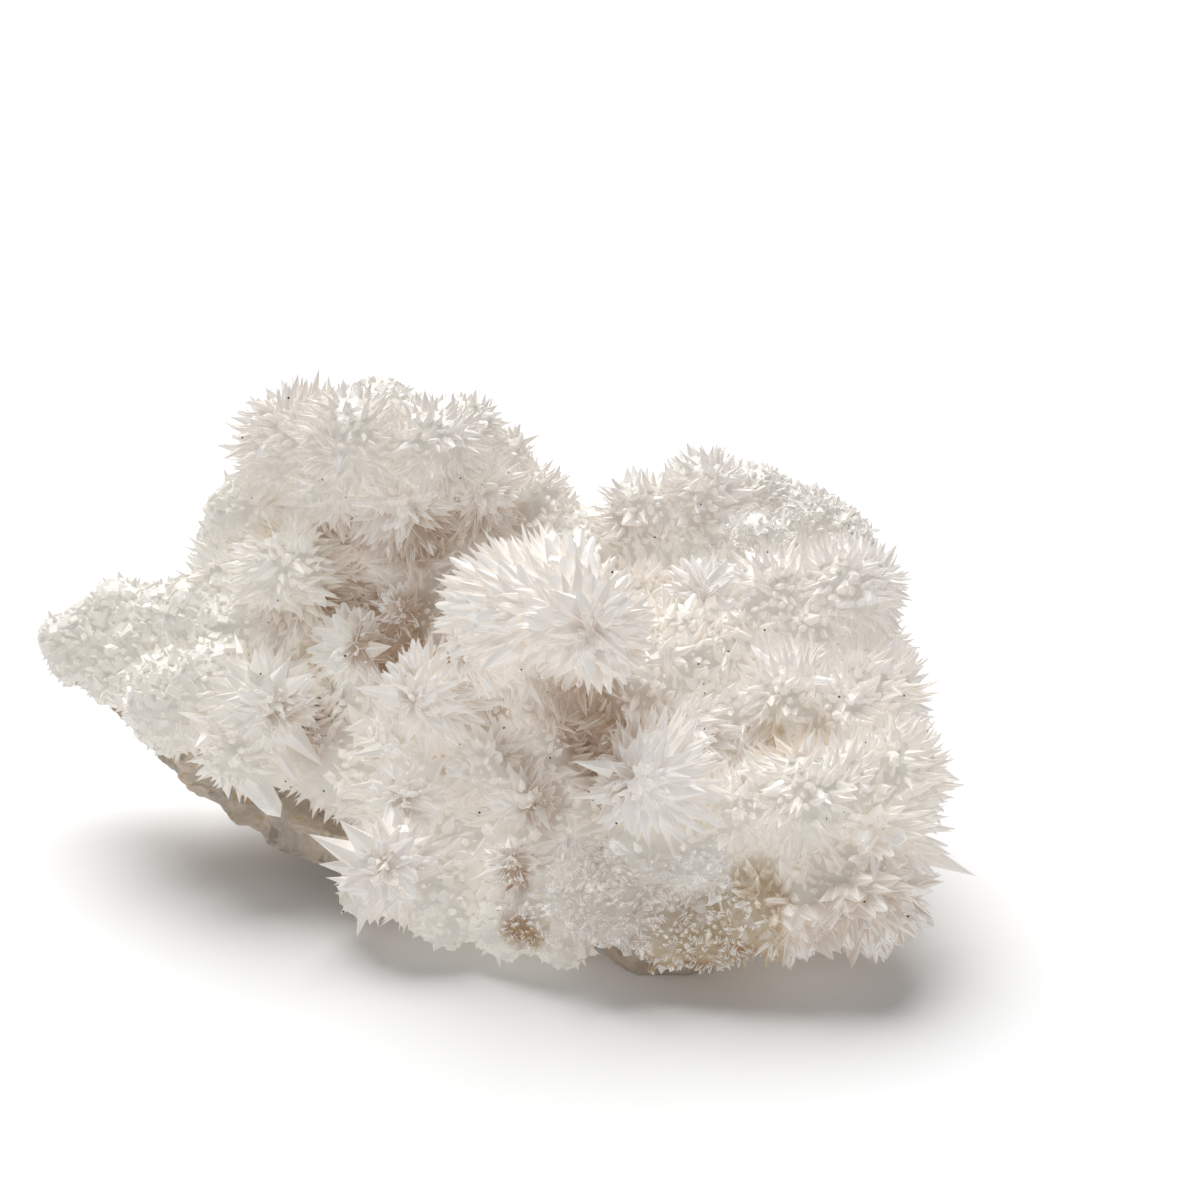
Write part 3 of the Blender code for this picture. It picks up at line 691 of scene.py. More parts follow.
def heart_material(settings):
    """Massive calcite between the crystals, with painted shade that turns it brown where it lies deep, and a
    net of dark cracks in places.
    """
    paint = Paint("massive calcite")
    opened = paint.attribute("opened")
    colour = calcite_colour(paint, settings, (opened - 0.06).clamped(), paint.noise(3.0))
    net = Value(paint, paint.cells(4.5, "DISTANCE_TO_EDGE").outputs["Distance"]).ramp(0.0, 0.05, 1.0, 0.0)
    for point, inner, outer in CRACKED_PLACES:
        colour = paint.mix(paint.near(point, inner, outer) * net * 0.85, colour, DARK_CRACK)
    colour = paint.mix(1.0, colour, HEART_TINT, "MULTIPLY")
    colour = paint.mix(specks(paint), colour, BLACK_GRAIN)
    grain = paint.noise(1.1, 4.0)
    relief = paint.bump(grain, 0.5, 0.6)
    # Painted glow: the emission stands in for light scattered inside the massive calcite
    return paint.finish(
        Base_Color=surface_share(paint, colour, settings.glow), Normal=relief, IOR=1.6,
        Roughness=grain.ramp(0.3, 0.7, 0.3, 0.55), Emission_Color=colour, Emission_Strength=settings.glow,
    )


def rock_material(settings):
    """Host rock: a tan bed over a grey-brown one, with brown marks, rust and yellow grains."""
    paint = Paint("host rock")
    cloud = paint.noise(14.0, 5.0, 0.6)
    colour = paint.mix(cloud.ramp(0.42, 0.58), settings.grey, settings.tan)
    fine = paint.noise(1.6, 4.0, 0.65)
    colour = paint.mix(fine.ramp(0.35, 0.7, 0.0, 0.55), colour, ROCK_GRAIN)
    brown = paint.noise(4.0, 4.0, 0.6).ramp(0.56, 0.64)
    colour = paint.mix(brown * 0.45, colour, ROCK_MARK)
    yellow = paint.noise(2.2, 3.0).ramp(0.62, 0.68)
    colour = paint.mix(yellow * 0.6, colour, YELLOW_GRAIN)
    colour = paint.mix(specks(paint), colour, BLACK_GRAIN)
    relief = paint.bump(fine, 0.6, 0.8)
    relief = paint.bump(paint.noise(0.5, 3.0), 0.15, 0.6, relief)
    return paint.finish(Base_Color=colour, Roughness=fine.ramp(0.3, 0.7, 0.95, 0.7), Normal=relief)


def floor_material():
    paint = Paint("pale floor")
    wear = paint.noise(60.0, 3.0)
    colour = paint.mix(wear, (0.82, 0.82, 0.82), (0.84, 0.84, 0.84))
    return paint.finish(
        Base_Color=colour, Roughness=0.8, Emission_Color=(1.0, 1.0, 1.0), Emission_Strength=0.06,
    )


class Form:
    """One crystal form of unit length along Z and unit half width: its points, triangles and facet places."""

    def __init__(self, bm, edged=True):
        facets = bm.loops.layers.uv.new("facets")
        for face in bm.faces:
            middle = face.calc_center_median()
            face_turn = math.atan2(middle.y, middle.x)
            for loop in face.loops:
                point = loop.vert.co
                off = math.remainder(math.atan2(point.y, point.x) - face_turn, math.tau)
                at_axis = math.hypot(point.x, point.y) < 0.12
                across = 0.0 if at_axis or not edged else math.copysign(1.0, off)
                loop[facets].uv = (across, self.along(point.z))
        bmesh.ops.triangulate(bm, faces=bm.faces)
        bm.verts.index_update()
        self.points = np.array([v.co for v in bm.verts])
        self.triangles = np.array([[v.index for v in f.verts] for f in bm.faces])
        self.facets = np.array([[loop[facets].uv for loop in f.loops] for f in bm.faces])
        bm.free()

    @staticmethod
    def along(height):
        """0 at the foot, 1 at the widest ring and 2 at the tip."""
        return height / WAIST if height <= WAIST + RING_SLACK else 1 + (height - WAIST) / (1 - WAIST)


def uneven_ring(face, step):
    """Moves the corners of a ring up and down in turn, and every other one inwards."""
    for k, v in enumerate(face.verts):
        v.co.z += step if k % 2 else -step
        if k % 2:
            v.co.x *= PINCH
            v.co.y *= PINCH


def crystal_body(sides, foot, waist_step):
    """A bmesh of a closed prism that widens from its foot to the waist, and its top face."""
    bm = bmesh.new()
    bmesh.ops.create_cone(
        bm, cap_ends=True, segments=sides, radius1=foot, radius2=1.0, depth=WAIST,
        matrix=Matrix.Translation((0, 0, WAIST / 2)),
    )
    top = max(bm.faces, key=lambda face: face.calc_center_median().z)
    uneven_ring(top, waist_step)
    return bm, top


def sharp_form():
    """A dogtooth crystal with six long faces that meet in a point."""
    bm, top = crystal_body(6, 0.66, 0.05)
    tip = bmesh.ops.poke(bm, faces=[top])["verts"][0]
    tip.co = (0, 0, 1)
    return Form(bm)


def chisel_form():
    """A dogtooth crystal whose tip is a short edge."""
    bm, top = crystal_body(6, 0.66, 0.04)
    grown = bmesh.ops.extrude_discrete_faces(bm, faces=[top])["faces"][0]
    for v in grown.verts:
        v.co = (v.co.x * 0.22, v.co.y * 0.04, 1.0 - abs(v.co.x) * 0.05)
    return Form(bm)


def blunt_form():
    """A short, thick crystal with a low three-sided cap."""
    bm, top = crystal_body(6, 0.8, 0.03)
    grown = bmesh.ops.extrude_discrete_faces(bm, faces=[top])["faces"][0]
    for k, v in enumerate(grown.verts):
        v.co = (v.co.x * 0.62, v.co.y * 0.62, 0.84 + (0.06 if k % 2 else -0.04))
    tip = bmesh.ops.poke(bm, faces=[grown])["verts"][0]
    tip.co = (0.05, 0.03, 1)
    return Form(bm)


def grain_form():
    """A short five-sided grain with a low point."""
    bm = bmesh.new()
    bmesh.ops.create_cone(
        bm, cap_ends=True, segments=5, radius1=1.0, radius2=0.82, depth=0.7,
        matrix=Matrix.Translation((0, 0, 0.35)),
    )
    top = max(bm.faces, key=lambda face: face.calc_center_median().z)
    tip = bmesh.ops.poke(bm, faces=[top])["verts"][0]
    tip.co = (0.2, 0.1, 1)
    return Form(bm)


def spindle_form(sides):
    """A slim dogtooth crystal: two pyramids that meet at its widest ring."""
    bm = bmesh.new()
    bmesh.ops.create_cone(
        bm, cap_ends=True, segments=sides, radius1=1.0, radius2=0.0, depth=1 - WAIST,
        matrix=Matrix.Translation((0, 0, (1 + WAIST) / 2)),
    )
    bmesh.ops.remove_doubles(bm, verts=bm.verts, dist=0.001)
    base = min(bm.faces, key=lambda face: face.calc_center_median().z)
    uneven_ring(base, 0.05)
    foot = bmesh.ops.poke(bm, faces=[base])["verts"][0]
    foot.co = (0, 0, 0)
    return Form(bm)


def block_form():
    """A leaning block with four sides and a flat, tilted top."""
    bm = bmesh.new()
    bmesh.ops.create_cube(bm, size=1.0, matrix=Matrix.Translation((0, 0, 0.5)))
    for v in bm.verts:
        high = v.co.z > 0.5
        v.co.x = v.co.x * (1.5 if high else 2.0) + (0.25 if high else 0.0)
        v.co.y = v.co.y * (1.6 if high else 2.0) + (0.1 if high else 0.0)
        v.co.z -= 0.12 * (v.co.x + v.co.y) if high else 0.0
    return Form(bm, edged=False)


class Crystals:
    """Places of many copies of some forms, gathered until they are joined into one mesh."""

    def __init__(self):
        self.batches = []

    def add(self, form, feet, ways, sides, lengths, widths, flats, tones, opened):
        """Copies of a form: where each starts, its direction and broad side, and its size in millimetres."""
        if len(feet):
            self.batches.append((form, feet, ways, sides, lengths, widths, flats, tones, opened))

    def add_one(self, form, foot, tip, half, side, flat, tone, opened):
        """A single crystal from its foot to its tip."""
        way = np.array(tip, float) - np.array(foot, float)
        length = np.linalg.norm(way)
        self.add(
            form, np.array([foot], float), way[None] / length, np.array([side], float), np.array([length]),
            np.array([half]), np.array([flat]), np.array([tone]), np.array([opened]),
        )

    def join(self, name):
        points, triangles, facets, tones, opened, start = [], [], [], [], [], 0
        for form, feet, ways, sides, lengths, widths, flats, tone, light in self.batches:
            turned = turns(ways, sides)
            count, each = len(feet), len(form.points)
            shaped = form.points[None] * np.stack([widths, widths * flats, lengths], 1)[:, None]
            placed = np.einsum("nvi,nij->nvj", shaped, turned) + feet[:, None]
            points.append(placed.reshape(-1, 3))
            shift = start + np.arange(count)[:, None, None] * each
            triangles.append((form.triangles[None] + shift).reshape(-1, 3))
            facets.append(np.broadcast_to(form.facets[None], (count, *form.facets.shape)).reshape(-1, 2))
            tones.append(np.repeat(tone, each))
            # Painted shade: each crystal's openness runs from its foot to its tip, so it is darker at the
            # foot
            height = np.tile(form.points[:, 2], count)
            opened.append(np.repeat(light[:, 0], each) * (1 - height) + np.repeat(light[:, 1], each) * height)
            start += count * each
        points = np.concatenate(points)
        points[:, 2] = np.maximum(points[:, 2], GROUND_CLEARANCE)
        points = np.clip(points, LOW_CORNER + BOX_MARGIN, HIGH_CORNER - BOX_MARGIN)
        mesh = joined_mesh(name, points, np.concatenate(triangles))
        mesh.uv_layers.new(name="facets").uv.foreach_set(
            "vector", np.concatenate(facets).astype(np.float32).ravel()
        )
        for label, values in (("tone", tones), ("opened", opened)):
            layer = mesh.attributes.new(label, "FLOAT", "POINT")
            layer.data.foreach_set("value", np.concatenate(values).astype(np.float32))
        mesh.update()
        return mesh


def joined_mesh(name, points, triangles):
    """A mesh of all the copies' points, in millimetres, and their triangles."""
    mesh = bpy.data.meshes.new(name)
    mesh.vertices.add(len(points))
    mesh.vertices.foreach_set("co", (points * MM).astype(np.float32).ravel())
    mesh.loops.add(len(triangles) * 3)
    mesh.loops.foreach_set("vertex_index", triangles.astype(np.int32).ravel())
    mesh.polygons.add(len(triangles))
    mesh.polygons.foreach_set("loop_start", np.arange(0, len(triangles) * 3, 3, dtype=np.int32))
    mesh.update(calc_edges=True)
    mesh.shade_flat()
    return mesh


def unit(vectors):
    return vectors / np.linalg.norm(vectors, axis=1, keepdims=True)


def turns(ways, sides):
    """Row vectors of each crystal's own X, its broad side, then its Y and Z."""
    z = unit(ways)
    x = unit(sides - (sides * z).sum(1, keepdims=True) * z)
    return np.stack([x, np.cross(z, x), z], 1)


def direction(turn, tilt):
    """Unit vector from a turn away from the front (-Y) towards +X, and a tilt above level."""
    a, e = math.radians(turn), math.radians(tilt)
    return np.array([math.sin(a) * math.cos(e), -math.cos(a) * math.cos(e), math.sin(e)])


def cap_directions(pole, half_angle, count, rng, scatter):
    """Directions spread evenly over a cap about the pole, each one strayed a little."""
    k = np.arange(count)
    c = 1 - (k + 0.5) / count * (1 - math.cos(math.radians(half_angle)))
    s = np.sqrt(np.maximum(0, 1 - c * c))
    local = np.stack([s * np.cos(k * GOLDEN_ANGLE), s * np.sin(k * GOLDEN_ANGLE), c], 1)
    across = np.array([[math.cos(0.3), math.sin(0.3), 0.1]])
    return unit(local @ turns(pole[None], across)[0] + rng.normal(0, scatter, (count, 3)))


def all_lumps():
    return {name: row for zone in LUMPS.values() for name, row in zone.items()}


def stem_balls(start, start_radius, end, end_radius):
    """Centres and radii of a tapered run of balls between two points."""
    a, b = np.array(start, float), np.array(end, float)
    steps = max(1, round(np.linalg.norm(b - a) / 2.0))
    for k in range(steps + 1):
        yield (*(a + (b - a) * k / steps), start_radius + (end_radius - start_radius) * k / steps)


def nearest_on_spine(point):
    """The closest point of the spine's links to the given point, and its thickness there."""
    found = []
    for first, second in LINKS:
        (a, ra), (b, rb) = SPINE[first], SPINE[second]
        a, b = Vector(a), Vector(b)
        t = min(1.0, max(0.0, (point - a).dot(b - a) / (b - a).length_squared))
        place = a.lerp(b, t)
        found.append(((point - place).length, place, ra + (rb - ra) * t))
    return min(found, key=lambda row: row[0])[1:]


def lump_balls(share_of):
    """A mesh of the lumps' balls, their stems and the spine, all overlapping."""
    rows = []
    for centre, reach, *_, kind in all_lumps().values():
        radius = reach * share_of(kind)
        rows.append((*centre, radius))
        foot, thick = nearest_on_spine(Vector(centre))
        rows.extend(stem_balls(centre, radius * 0.9, foot, thick * 0.8))
    for first, second in LINKS:
        (a, ra), (b, rb) = SPINE[first], SPINE[second]
        rows.extend(stem_balls(a, ra, b, rb))
    rows = np.array(rows)
    bm = bmesh.new()
    bmesh.ops.create_icosphere(bm, subdivisions=3, radius=1.0)
    ball = np.array([v.co for v in bm.verts])
    faces = np.array([[v.index for v in f.verts] for f in bm.faces])
    bm.free()
    points = ball[None] * rows[:, None, 3:] + rows[:, None, :3]
    triangles = faces[None] + np.arange(len(rows))[:, None, None] * len(ball)
    return joined_mesh("lumps", points.reshape(-1, 3), triangles.reshape(-1, 3))


def make_piece(name, mesh, material, replaced=None):
    """An object at the origin that rides on the specimen."""
    made = bpy.data.objects.new(name, mesh)
    bpy.context.scene.collection.objects.link(made)
    mesh.materials.append(material)
    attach(made, BODY)
    if replaced:
        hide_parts(replaced)
    return made


def skin_over(mesh, voxel):
    """A bmesh of one closed skin over everything in a mesh."""
    carrier = bpy.data.objects.new("skin", mesh)
    bpy.context.scene.collection.objects.link(carrier)
    step = carrier.modifiers.new("one skin", "REMESH")
    step.mode = "VOXEL"
    step.voxel_size = voxel
    bpy.context.view_layer.update()
    skinned = bpy.data.meshes.new_from_object(carrier.evaluated_get(bpy.context.evaluated_depsgraph_get()))
    bpy.data.objects.remove(carrier)
    made = bmesh.new()
    made.from_mesh(skinned)
    made.normal_update()
    return made


def keep_in_box(bm):
    low, high = (LOW_CORNER + BOX_MARGIN) * MM, (HIGH_CORNER - BOX_MARGIN) * MM
    for v in bm.verts:
        v.co = [min(max(c, a), b) for c, a, b in zip(v.co, low, high)]


class Openness:
    """How open to the sky the places around the specimen are, worked out on a coarse skin over its lumps; it
    sets the painted shade.
    """

    def __init__(self, reach_share, voxel):
        bm = skin_over(lump_balls(lambda kind: reach_share), voxel)
        skin = BVHTree.FromBMesh(bm)
        self.tree = KDTree(len(bm.verts))
        self.shares = np.zeros(len(bm.verts))
        for v in bm.verts:
            self.tree.insert(v.co, v.index)
            self.shares[v.index] = self.free_share(skin, v.co + v.normal * 0.3 * MM, v.normal)
        self.tree.balance()
        bm.free()

    @staticmethod
    def free_share(skin, place, way):
        """Share of the directions on the way's side that leave a place without meeting the skin."""
        free = 0
        for ray in RAYS:
            ray = ray if ray.dot(way) > 0 else -ray
            if skin.ray_cast(place, (ray + way * 0.35).normalized(), 0.1)[0] is None:
                free += 1
        return free / len(RAYS)

    def at(self, points):
        """Mean openness of the four nearest places, for points in millimetres."""
        found = [self.tree.find_n(Vector(p) * MM, 4) for p in points]
        return np.array([self.shares[[row[1] for row in near]].mean() for near in found])


def even_rays(count):
    """Unit vectors spread evenly over the ball."""
    rays = []
    for k in range(count):
        z = 1 - 2 * (k + 0.5) / count
        s = math.sqrt(1 - z * z)
        rays.append(Vector((s * math.cos(k * GOLDEN_ANGLE), s * math.sin(k * GOLDEN_ANGLE), z)))
    return rays


RAYS = even_rays(20)

# What one step leaves for the next ones
shared = {}


def rough(place, lumps):
    """Height of a surface's lumps at a place, from their sizes and heights in millimetres."""
    return sum(noise.noise(place / size) * height for size, height in lumps)


class CALCITE_OT_host_rock(bpy.types.Operator):
    """Builds the plate of host rock over its solid."""

    bl_idname = "calcite.host_rock"
    bl_label = "Host rock"

    def execute(self, context):
        settings = context.scene.host_rock
        bm = bmesh.new()
        bm.from_mesh(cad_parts["matrix"].data)
        bmesh.ops.remove_doubles(bm, verts=bm.verts, dist=0.01 * MM)
        mesh = bpy.data.meshes.new("host_rock")
        bm.to_mesh(mesh)
        bm.free()
        bm = skin_over(mesh, settings.grain)
        for v in bm.verts:
            place = v.co / MM
            lumps = rough(place, ROCK_LUMPS) + min(0.0, noise.noise(place / 17.0)) * 3.0
            beds = math.sin((place.z - place.x * 0.25 + noise.noise(place / 15.0) * 4.0) * 1.1) * 0.3
            low = min(1.0, max(0.0, (place.z - 0.3) / 1.5))
            v.co += v.normal * (lumps + beds) * settings.relief * low
            v.co.z = max(0.0, v.co.z)
        keep_in_box(bm)
        shared["rock"] = BVHTree.FromBMesh(bm)
        bm.to_mesh(mesh)
        bm.free()
        make_piece("host_rock", mesh, rock_material(settings), "matrix")
        return {"FINISHED"}


class CALCITE_OT_massive_calcite(bpy.types.Operator):
    """Builds the massive calcite that carries the crystals."""

    bl_idname = "calcite.massive_calcite"
    bl_label = "Massive calcite"

    def execute(self, context):
        settings = context.scene.crystals
        noise.seed_set(settings.seed)
        bm = skin_over(lump_balls(lambda kind: KINDS[kind][0] * settings.fullness), settings.heart_grain)
        shared["open"] = Openness(OPEN_SHARE, OPEN_GRAIN * MM)
        shared["spots"] = Spots(bm, np.random.default_rng(settings.seed + 4))
        for v in bm.verts:
            place = v.co / MM
            v.co += v.normal * rough(place, HEART_LUMPS) * MM
            v.co.z = max(GROUND_CLEARANCE * MM, v.co.z)
        keep_in_box(bm)
        mesh = bpy.data.meshes.new("massive_calcite")
        bm.to_mesh(mesh)
        # Openness of each point, for the painted shade of the massive calcite
        values = shared["open"].at([v.co / MM for v in bm.verts])
        layer = mesh.attributes.new("opened", "FLOAT", "POINT")
        layer.data.foreach_set("value", values.astype(np.float32))
        bm.free()
        make_piece("massive_calcite", mesh, heart_material(settings), "calcite_crust")
        return {"FINISHED"}


class Spots:
    """Places spread evenly over the massive calcite, each one with the lump that it belongs to."""

    def __init__(self, bm, rng):
        smooth = bm.copy()
        for _ in range(SPOT_SMOOTHING):
            bmesh.ops.smooth_vert(
                smooth, verts=smooth.verts, factor=0.5, use_axis_x=True, use_axis_y=True, use_axis_z=True,
            )
        smooth.normal_update()
        middles = np.array([f.calc_center_median() for f in smooth.faces]) / MM
        normals = np.array([f.normal for f in smooth.faces])
        areas = np.array([f.calc_area() for f in smooth.faces])
        smooth.free()
        rows = list(all_lumps().values())
        centres = np.array([row[0] for row in rows], float)
        reaches = np.array([row[1] for row in rows], float)
        owners = (np.linalg.norm(middles[:, None] - centres[None], axis=2) - reaches).argmin(1)
        picked = rng.choice(len(areas), SPOT_TRIES, p=areas / areas.sum())
        places = middles[picked] + rng.uniform(-SPOT_STRAY, SPOT_STRAY, (SPOT_TRIES, 3))
        kinds = np.array([row[-1] for row in rows])
        gaps = np.array([SPOT_GAPS[kind] for kind in kinds])[owners[picked]]
        kept = spaced(places, gaps, rng)
        self.places = places[kept]
        self.normals = normals[picked[kept]]
        self.owners = owners[picked[kept]]
        self.centres = centres[self.owners]
        self.reaches = reaches[self.owners]
        self.kinds = kinds[self.owners]
        poles = np.array([direction(row[2], row[3]) for row in rows])[self.owners]
        spreads = np.radians([row[4] for row in rows])[self.owners]
        away = self.places - self.centres
        far = np.linalg.norm(away, axis=1)
        steep = (away * poles).sum(1) / far > np.cos(spreads * 0.9)
        self.capped = steep & (far < self.reaches * 0.86)
        self.light = shared["open"].at(self.places)


def spaced(points, gaps, rng):
    """Which of the points stay, taken in a random order, when each keeps the others its gap away."""
    tree = KDTree(len(points))
    for k, point in enumerate(points):
        tree.insert(point, k)
    tree.balance()
    free = np.ones(len(points), bool)
    kept = []
    for k in rng.permutation(len(points)):
        if free[k]:
            kept.append(k)
            for _, other, _ in tree.find_range(points[k], gaps[k]):
                free[other] = False
    return np.array(kept)


def on_spots(crystals, form, chosen, heights, widths, stance, rng):
    """Stands copies of a form on some of the spots: they follow the skin, their lump and a slow drift."""
    spots = shared["spots"]
    drift, stray, buried = stance
    places, centres = spots.places[chosen], spots.centres[chosen]
    slow = np.array([noise.noise_vector(Vector(p) / DRIFT_SIZE) for p in places]).reshape(-1, 3)
    outwards = spots.normals[chosen] * 0.6 + unit(places - centres) * 0.4
    ways = unit(outwards + slow * drift + rng.normal(0, stray, places.shape))
    tips = places + ways * heights[:, None]
    kept = in_the_open(tips) & clear_of_hearts(tips, centres, 1.0)
    places, ways, tall, half = places[kept], ways[kept], heights[kept], widths[kept]
    shine = spots.light[chosen][kept]
    total = len(places)
    sunk = tall * buried + SUNK_DEPTH
    # The last pair is painted shade: openness at the foot and at the tip, darker at the foot
    crystals.add(
        form, places - ways * sunk[:, None], ways, rng.normal(0, 1, (total, 3)), tall + sunk, half,
        rng.uniform(0.5, 0.85, total), rng.random(total), np.stack([shine * 0.6, 0.15 + shine], 1),
    )


def inside_rock(point):
    found, normal, *_ = shared["rock"].find_nearest(point)
    return (point - found).dot(normal) < 0


def in_the_open(tips):
    """True for the tips that lie in the box of the solids, above the ground and outside the rock."""
    low, high = LOW_CORNER + TIP_MARGIN, HIGH_CORNER - TIP_MARGIN
    kept = (tips > low).all(1) & (tips < high).all(1) & (tips[:, 2] > TIP_CLEARANCE)
    return kept & np.array([not inside_rock(Vector(tip) * MM) for tip in tips], bool)


def clear_of_hearts(tips, own_centres, fullness):
    """True for the tips that lie outside the massive heart of every lump but their own."""
    clear = np.ones(len(tips), bool)
    for centre, reach, *_, kind in all_lumps().values():
        own = (own_centres == np.array(centre)).all(1)
        clear &= own | (np.linalg.norm(tips - np.array(centre), axis=1) > reach * KINDS[kind][0] * fullness)
    return clear


def focus_of(name, share):
    """The point on a lump's pole at this share of its reach."""
    centre, reach, turn, tilt, *_ = all_lumps()[name]
    return np.array(centre, float) + direction(turn, tilt) * reach * share


def radiate(crystals, forms, name, row, settings, rng):
    """Gives one lump its crystals: blades laid like petals about its pole, with thinner ones along them."""
    centre, reach, turn, tilt, spread, count, half, kind = row
    _, profile, blunt_share = KINDS[kind]
    middle = np.array(centre, float)
    pole = direction(turn, tilt)
    count = round(count * PETAL_SHARE[kind])
    ways = cap_directions(pole, spread, count, rng, settings.scatter)
    off_pole = np.degrees(np.arccos(np.clip(ways @ pole, -1, 1)))
    lengths = reach * rng.triangular(0.86, 1.0, 1.06, count)
    lengths *= np.interp(off_pole, PROFILE_ANGLES, profile)
    widths = half * rng.uniform(0.8, 1.25, count) * np.where(rng.random(count) < 0.25, 1.4, 1.0)
    widths *= np.interp(off_pole, *BROADER)
    tips = middle + ways * lengths[:, None]
    drawn = SPEARS_FOCUS if kind == "spears" else 1.0
    roots = middle + pole * (reach * drawn * np.interp(off_pole, *FOCUS_PROFILE))[:, None]
    roots += rng.normal(0, reach * 0.05, (count, 3))
    if name in LEANING:
        roots += (focus_of(LEANING[name], 0.2) - roots) * 0.6
    sides = np.cross(tips - roots, pole) / reach + rng.normal(0, 0.22, (count, 3))
    grown_on = np.repeat(np.arange(count), rng.integers(0, 3, count))
    more = len(grown_on)
    away = tips[grown_on] - roots[grown_on]
    span = np.linalg.norm(away, axis=1, keepdims=True)
    fan = unit(sides[grown_on]) * rng.normal(0, 0.12, (more, 1)) + rng.normal(0, 0.03, (more, 3))
    away = (away + fan * span) * rng.uniform(0.78, 0.97, (more, 1))
    tips = np.concatenate([tips, roots[grown_on] + away])
    roots = np.concatenate([roots, roots[grown_on]])
    sides = np.concatenate([sides, sides[grown_on] + rng.normal(0, 0.1, (more, 3))])
    widths = np.concatenate([widths, widths[grown_on] * rng.uniform(0.5, 0.85, more)])
    own_centres = np.broadcast_to(middle, tips.shape)
    kept = in_the_open(tips) & clear_of_hearts(tips, own_centres, settings.fullness)
    roots, sides, widths, tips = roots[kept], sides[kept], widths[kept], tips[kept]
    total = len(tips)
    opened = shared["open"].at(tips)
    # Painted shade: openness at the foot and at the tip, darker at the foot
    light = np.stack([opened * 0.35, 0.2 + opened * 0.8], 1)
    tones = rng.random(total)
    flats = rng.uniform(0.40, 0.75, total)
    luck = rng.random(total)
    off_pole = np.degrees(np.arccos(np.clip(unit(tips - middle) @ pole, -1, 1)))
    blunt = luck < blunt_share + np.interp(off_pole, *BLUNTER)
    chisel = ~blunt & (luck > 0.75)
    sharp = ~blunt & ~chisel
    ways = tips - roots
    spans = np.linalg.norm(ways, axis=1)
    ways /= spans[:, None]
    feet = roots + ways * (spans * settings.foot_share)[:, None]
    spans *= (1 - settings.foot_share) * np.where(blunt, 0.9, 1.0)
    widths = np.minimum(widths, spans * 0.34)
    for form, chosen in ((forms["blunt"], blunt), (forms["chisel"], chisel), (forms["sharp"], sharp)):
        crystals.add(
            form, feet[chosen], ways[chosen], sides[chosen], spans[chosen], widths[chosen], flats[chosen],
            tones[chosen], light[chosen],
        )


class CALCITE_OT_radiating_crystals(bpy.types.Operator):
    """Grows the crystals of every lump, one piece for each zone of the specimen."""

    bl_idname = "calcite.radiating_crystals"
    bl_label = "Radiating crystals"

    def execute(self, context):
        settings = context.scene.crystals
        rng = np.random.default_rng(settings.seed)
        forms = {"sharp": sharp_form(), "chisel": chisel_form(), "blunt": blunt_form()}
        spindle = spindle_form(6)
        names = list(all_lumps())
        for zone, lumps in LUMPS.items():
            crystals = Crystals()
            for name, row in lumps.items():
                radiate(crystals, forms, name, row, settings, rng)
            spots = shared["spots"]
            owned = np.isin(spots.owners, [names.index(name) for name in lumps])
            domed = np.flatnonzero(owned & spots.capped & (spots.kinds == "dome"))
            halves = np.array_split(rng.permutation(domed), 2)
            for form, part in zip((forms["sharp"], spindle), halves):
                heights = spots.reaches[part] * rng.triangular(0.18, 0.26, 0.42, len(part))
                on_spots(crystals, form, part, heights, rng.uniform(1.1, 1.8, len(part)), BLADES, rng)
            name = "crystals_" + zone
            roughness, tint = ZONE_LOOKS[zone]
            material = crystal_material(name.replace("_", " "), settings, roughness, settings.glow, tint)
            make_piece(name, crystals.join(name), material)
        return {"FINISHED"}


class CALCITE_OT_small_crystals(bpy.types.Operator):
    """Covers the massive calcite with short crystals, and the sugary lumps with low blocks."""

    bl_idname = "calcite.small_crystals"
    bl_label = "Small crystals"

    def execute(self, context):
        settings = context.scene.crystals
        rng = np.random.default_rng(settings.seed + 1)
        spots = shared["spots"]
        grainy = np.isin(spots.kinds, GRAINY)
        between = ~grainy & (~spots.capped | (spots.kinds == "fan") | (spots.kinds == "spears"))
        between = np.flatnonzero(between | (~grainy & (rng.random(len(grainy)) < 0.15)))
        crystals = Crystals()
        halves = np.array_split(rng.permutation(between), 2)
        for form, part in zip((sharp_form(), spindle_form(5)), halves):
            heights = rng.triangular(1.8, 3.0, 7.5, len(part))
            widths = heights * rng.uniform(0.22, 0.36, len(part))
            on_spots(crystals, form, part, heights, widths, BETWEEN, rng)
        material = crystal_material("small crystals", settings, 0.36, settings.glow, (0.99, 0.99, 0.98))
        make_piece("small_crystals", crystals.join("small_crystals"), material)
        crust = Crystals()
        thirds = np.array_split(rng.permutation(np.flatnonzero(spots.kinds == "sugar")), 3)
        for part, (form, least, most, broad) in zip(thirds, (
            (block_form(), 0.3, 1.3, (0.8, 1.7)), (block_form(), 0.2, 0.8, (1.0, 2.2)),
            (spindle_form(6), 1.2, 3.0, (0.9, 1.5)),
        )):
            heights = rng.triangular(least, least * 1.5, most, len(part))
            on_spots(crust, form, part, heights, rng.uniform(*broad, len(part)), CRUST, rng)
        # A stronger painted glow for the sugary crust
        glow = settings.glow * 1.8
        material = crystal_material("sugary crust", settings, 0.42, glow, (0.84, 0.845, 0.815))
        make_piece("sugary_crust", crust.join("sugary_crust"), material)
        return {"FINISHED"}


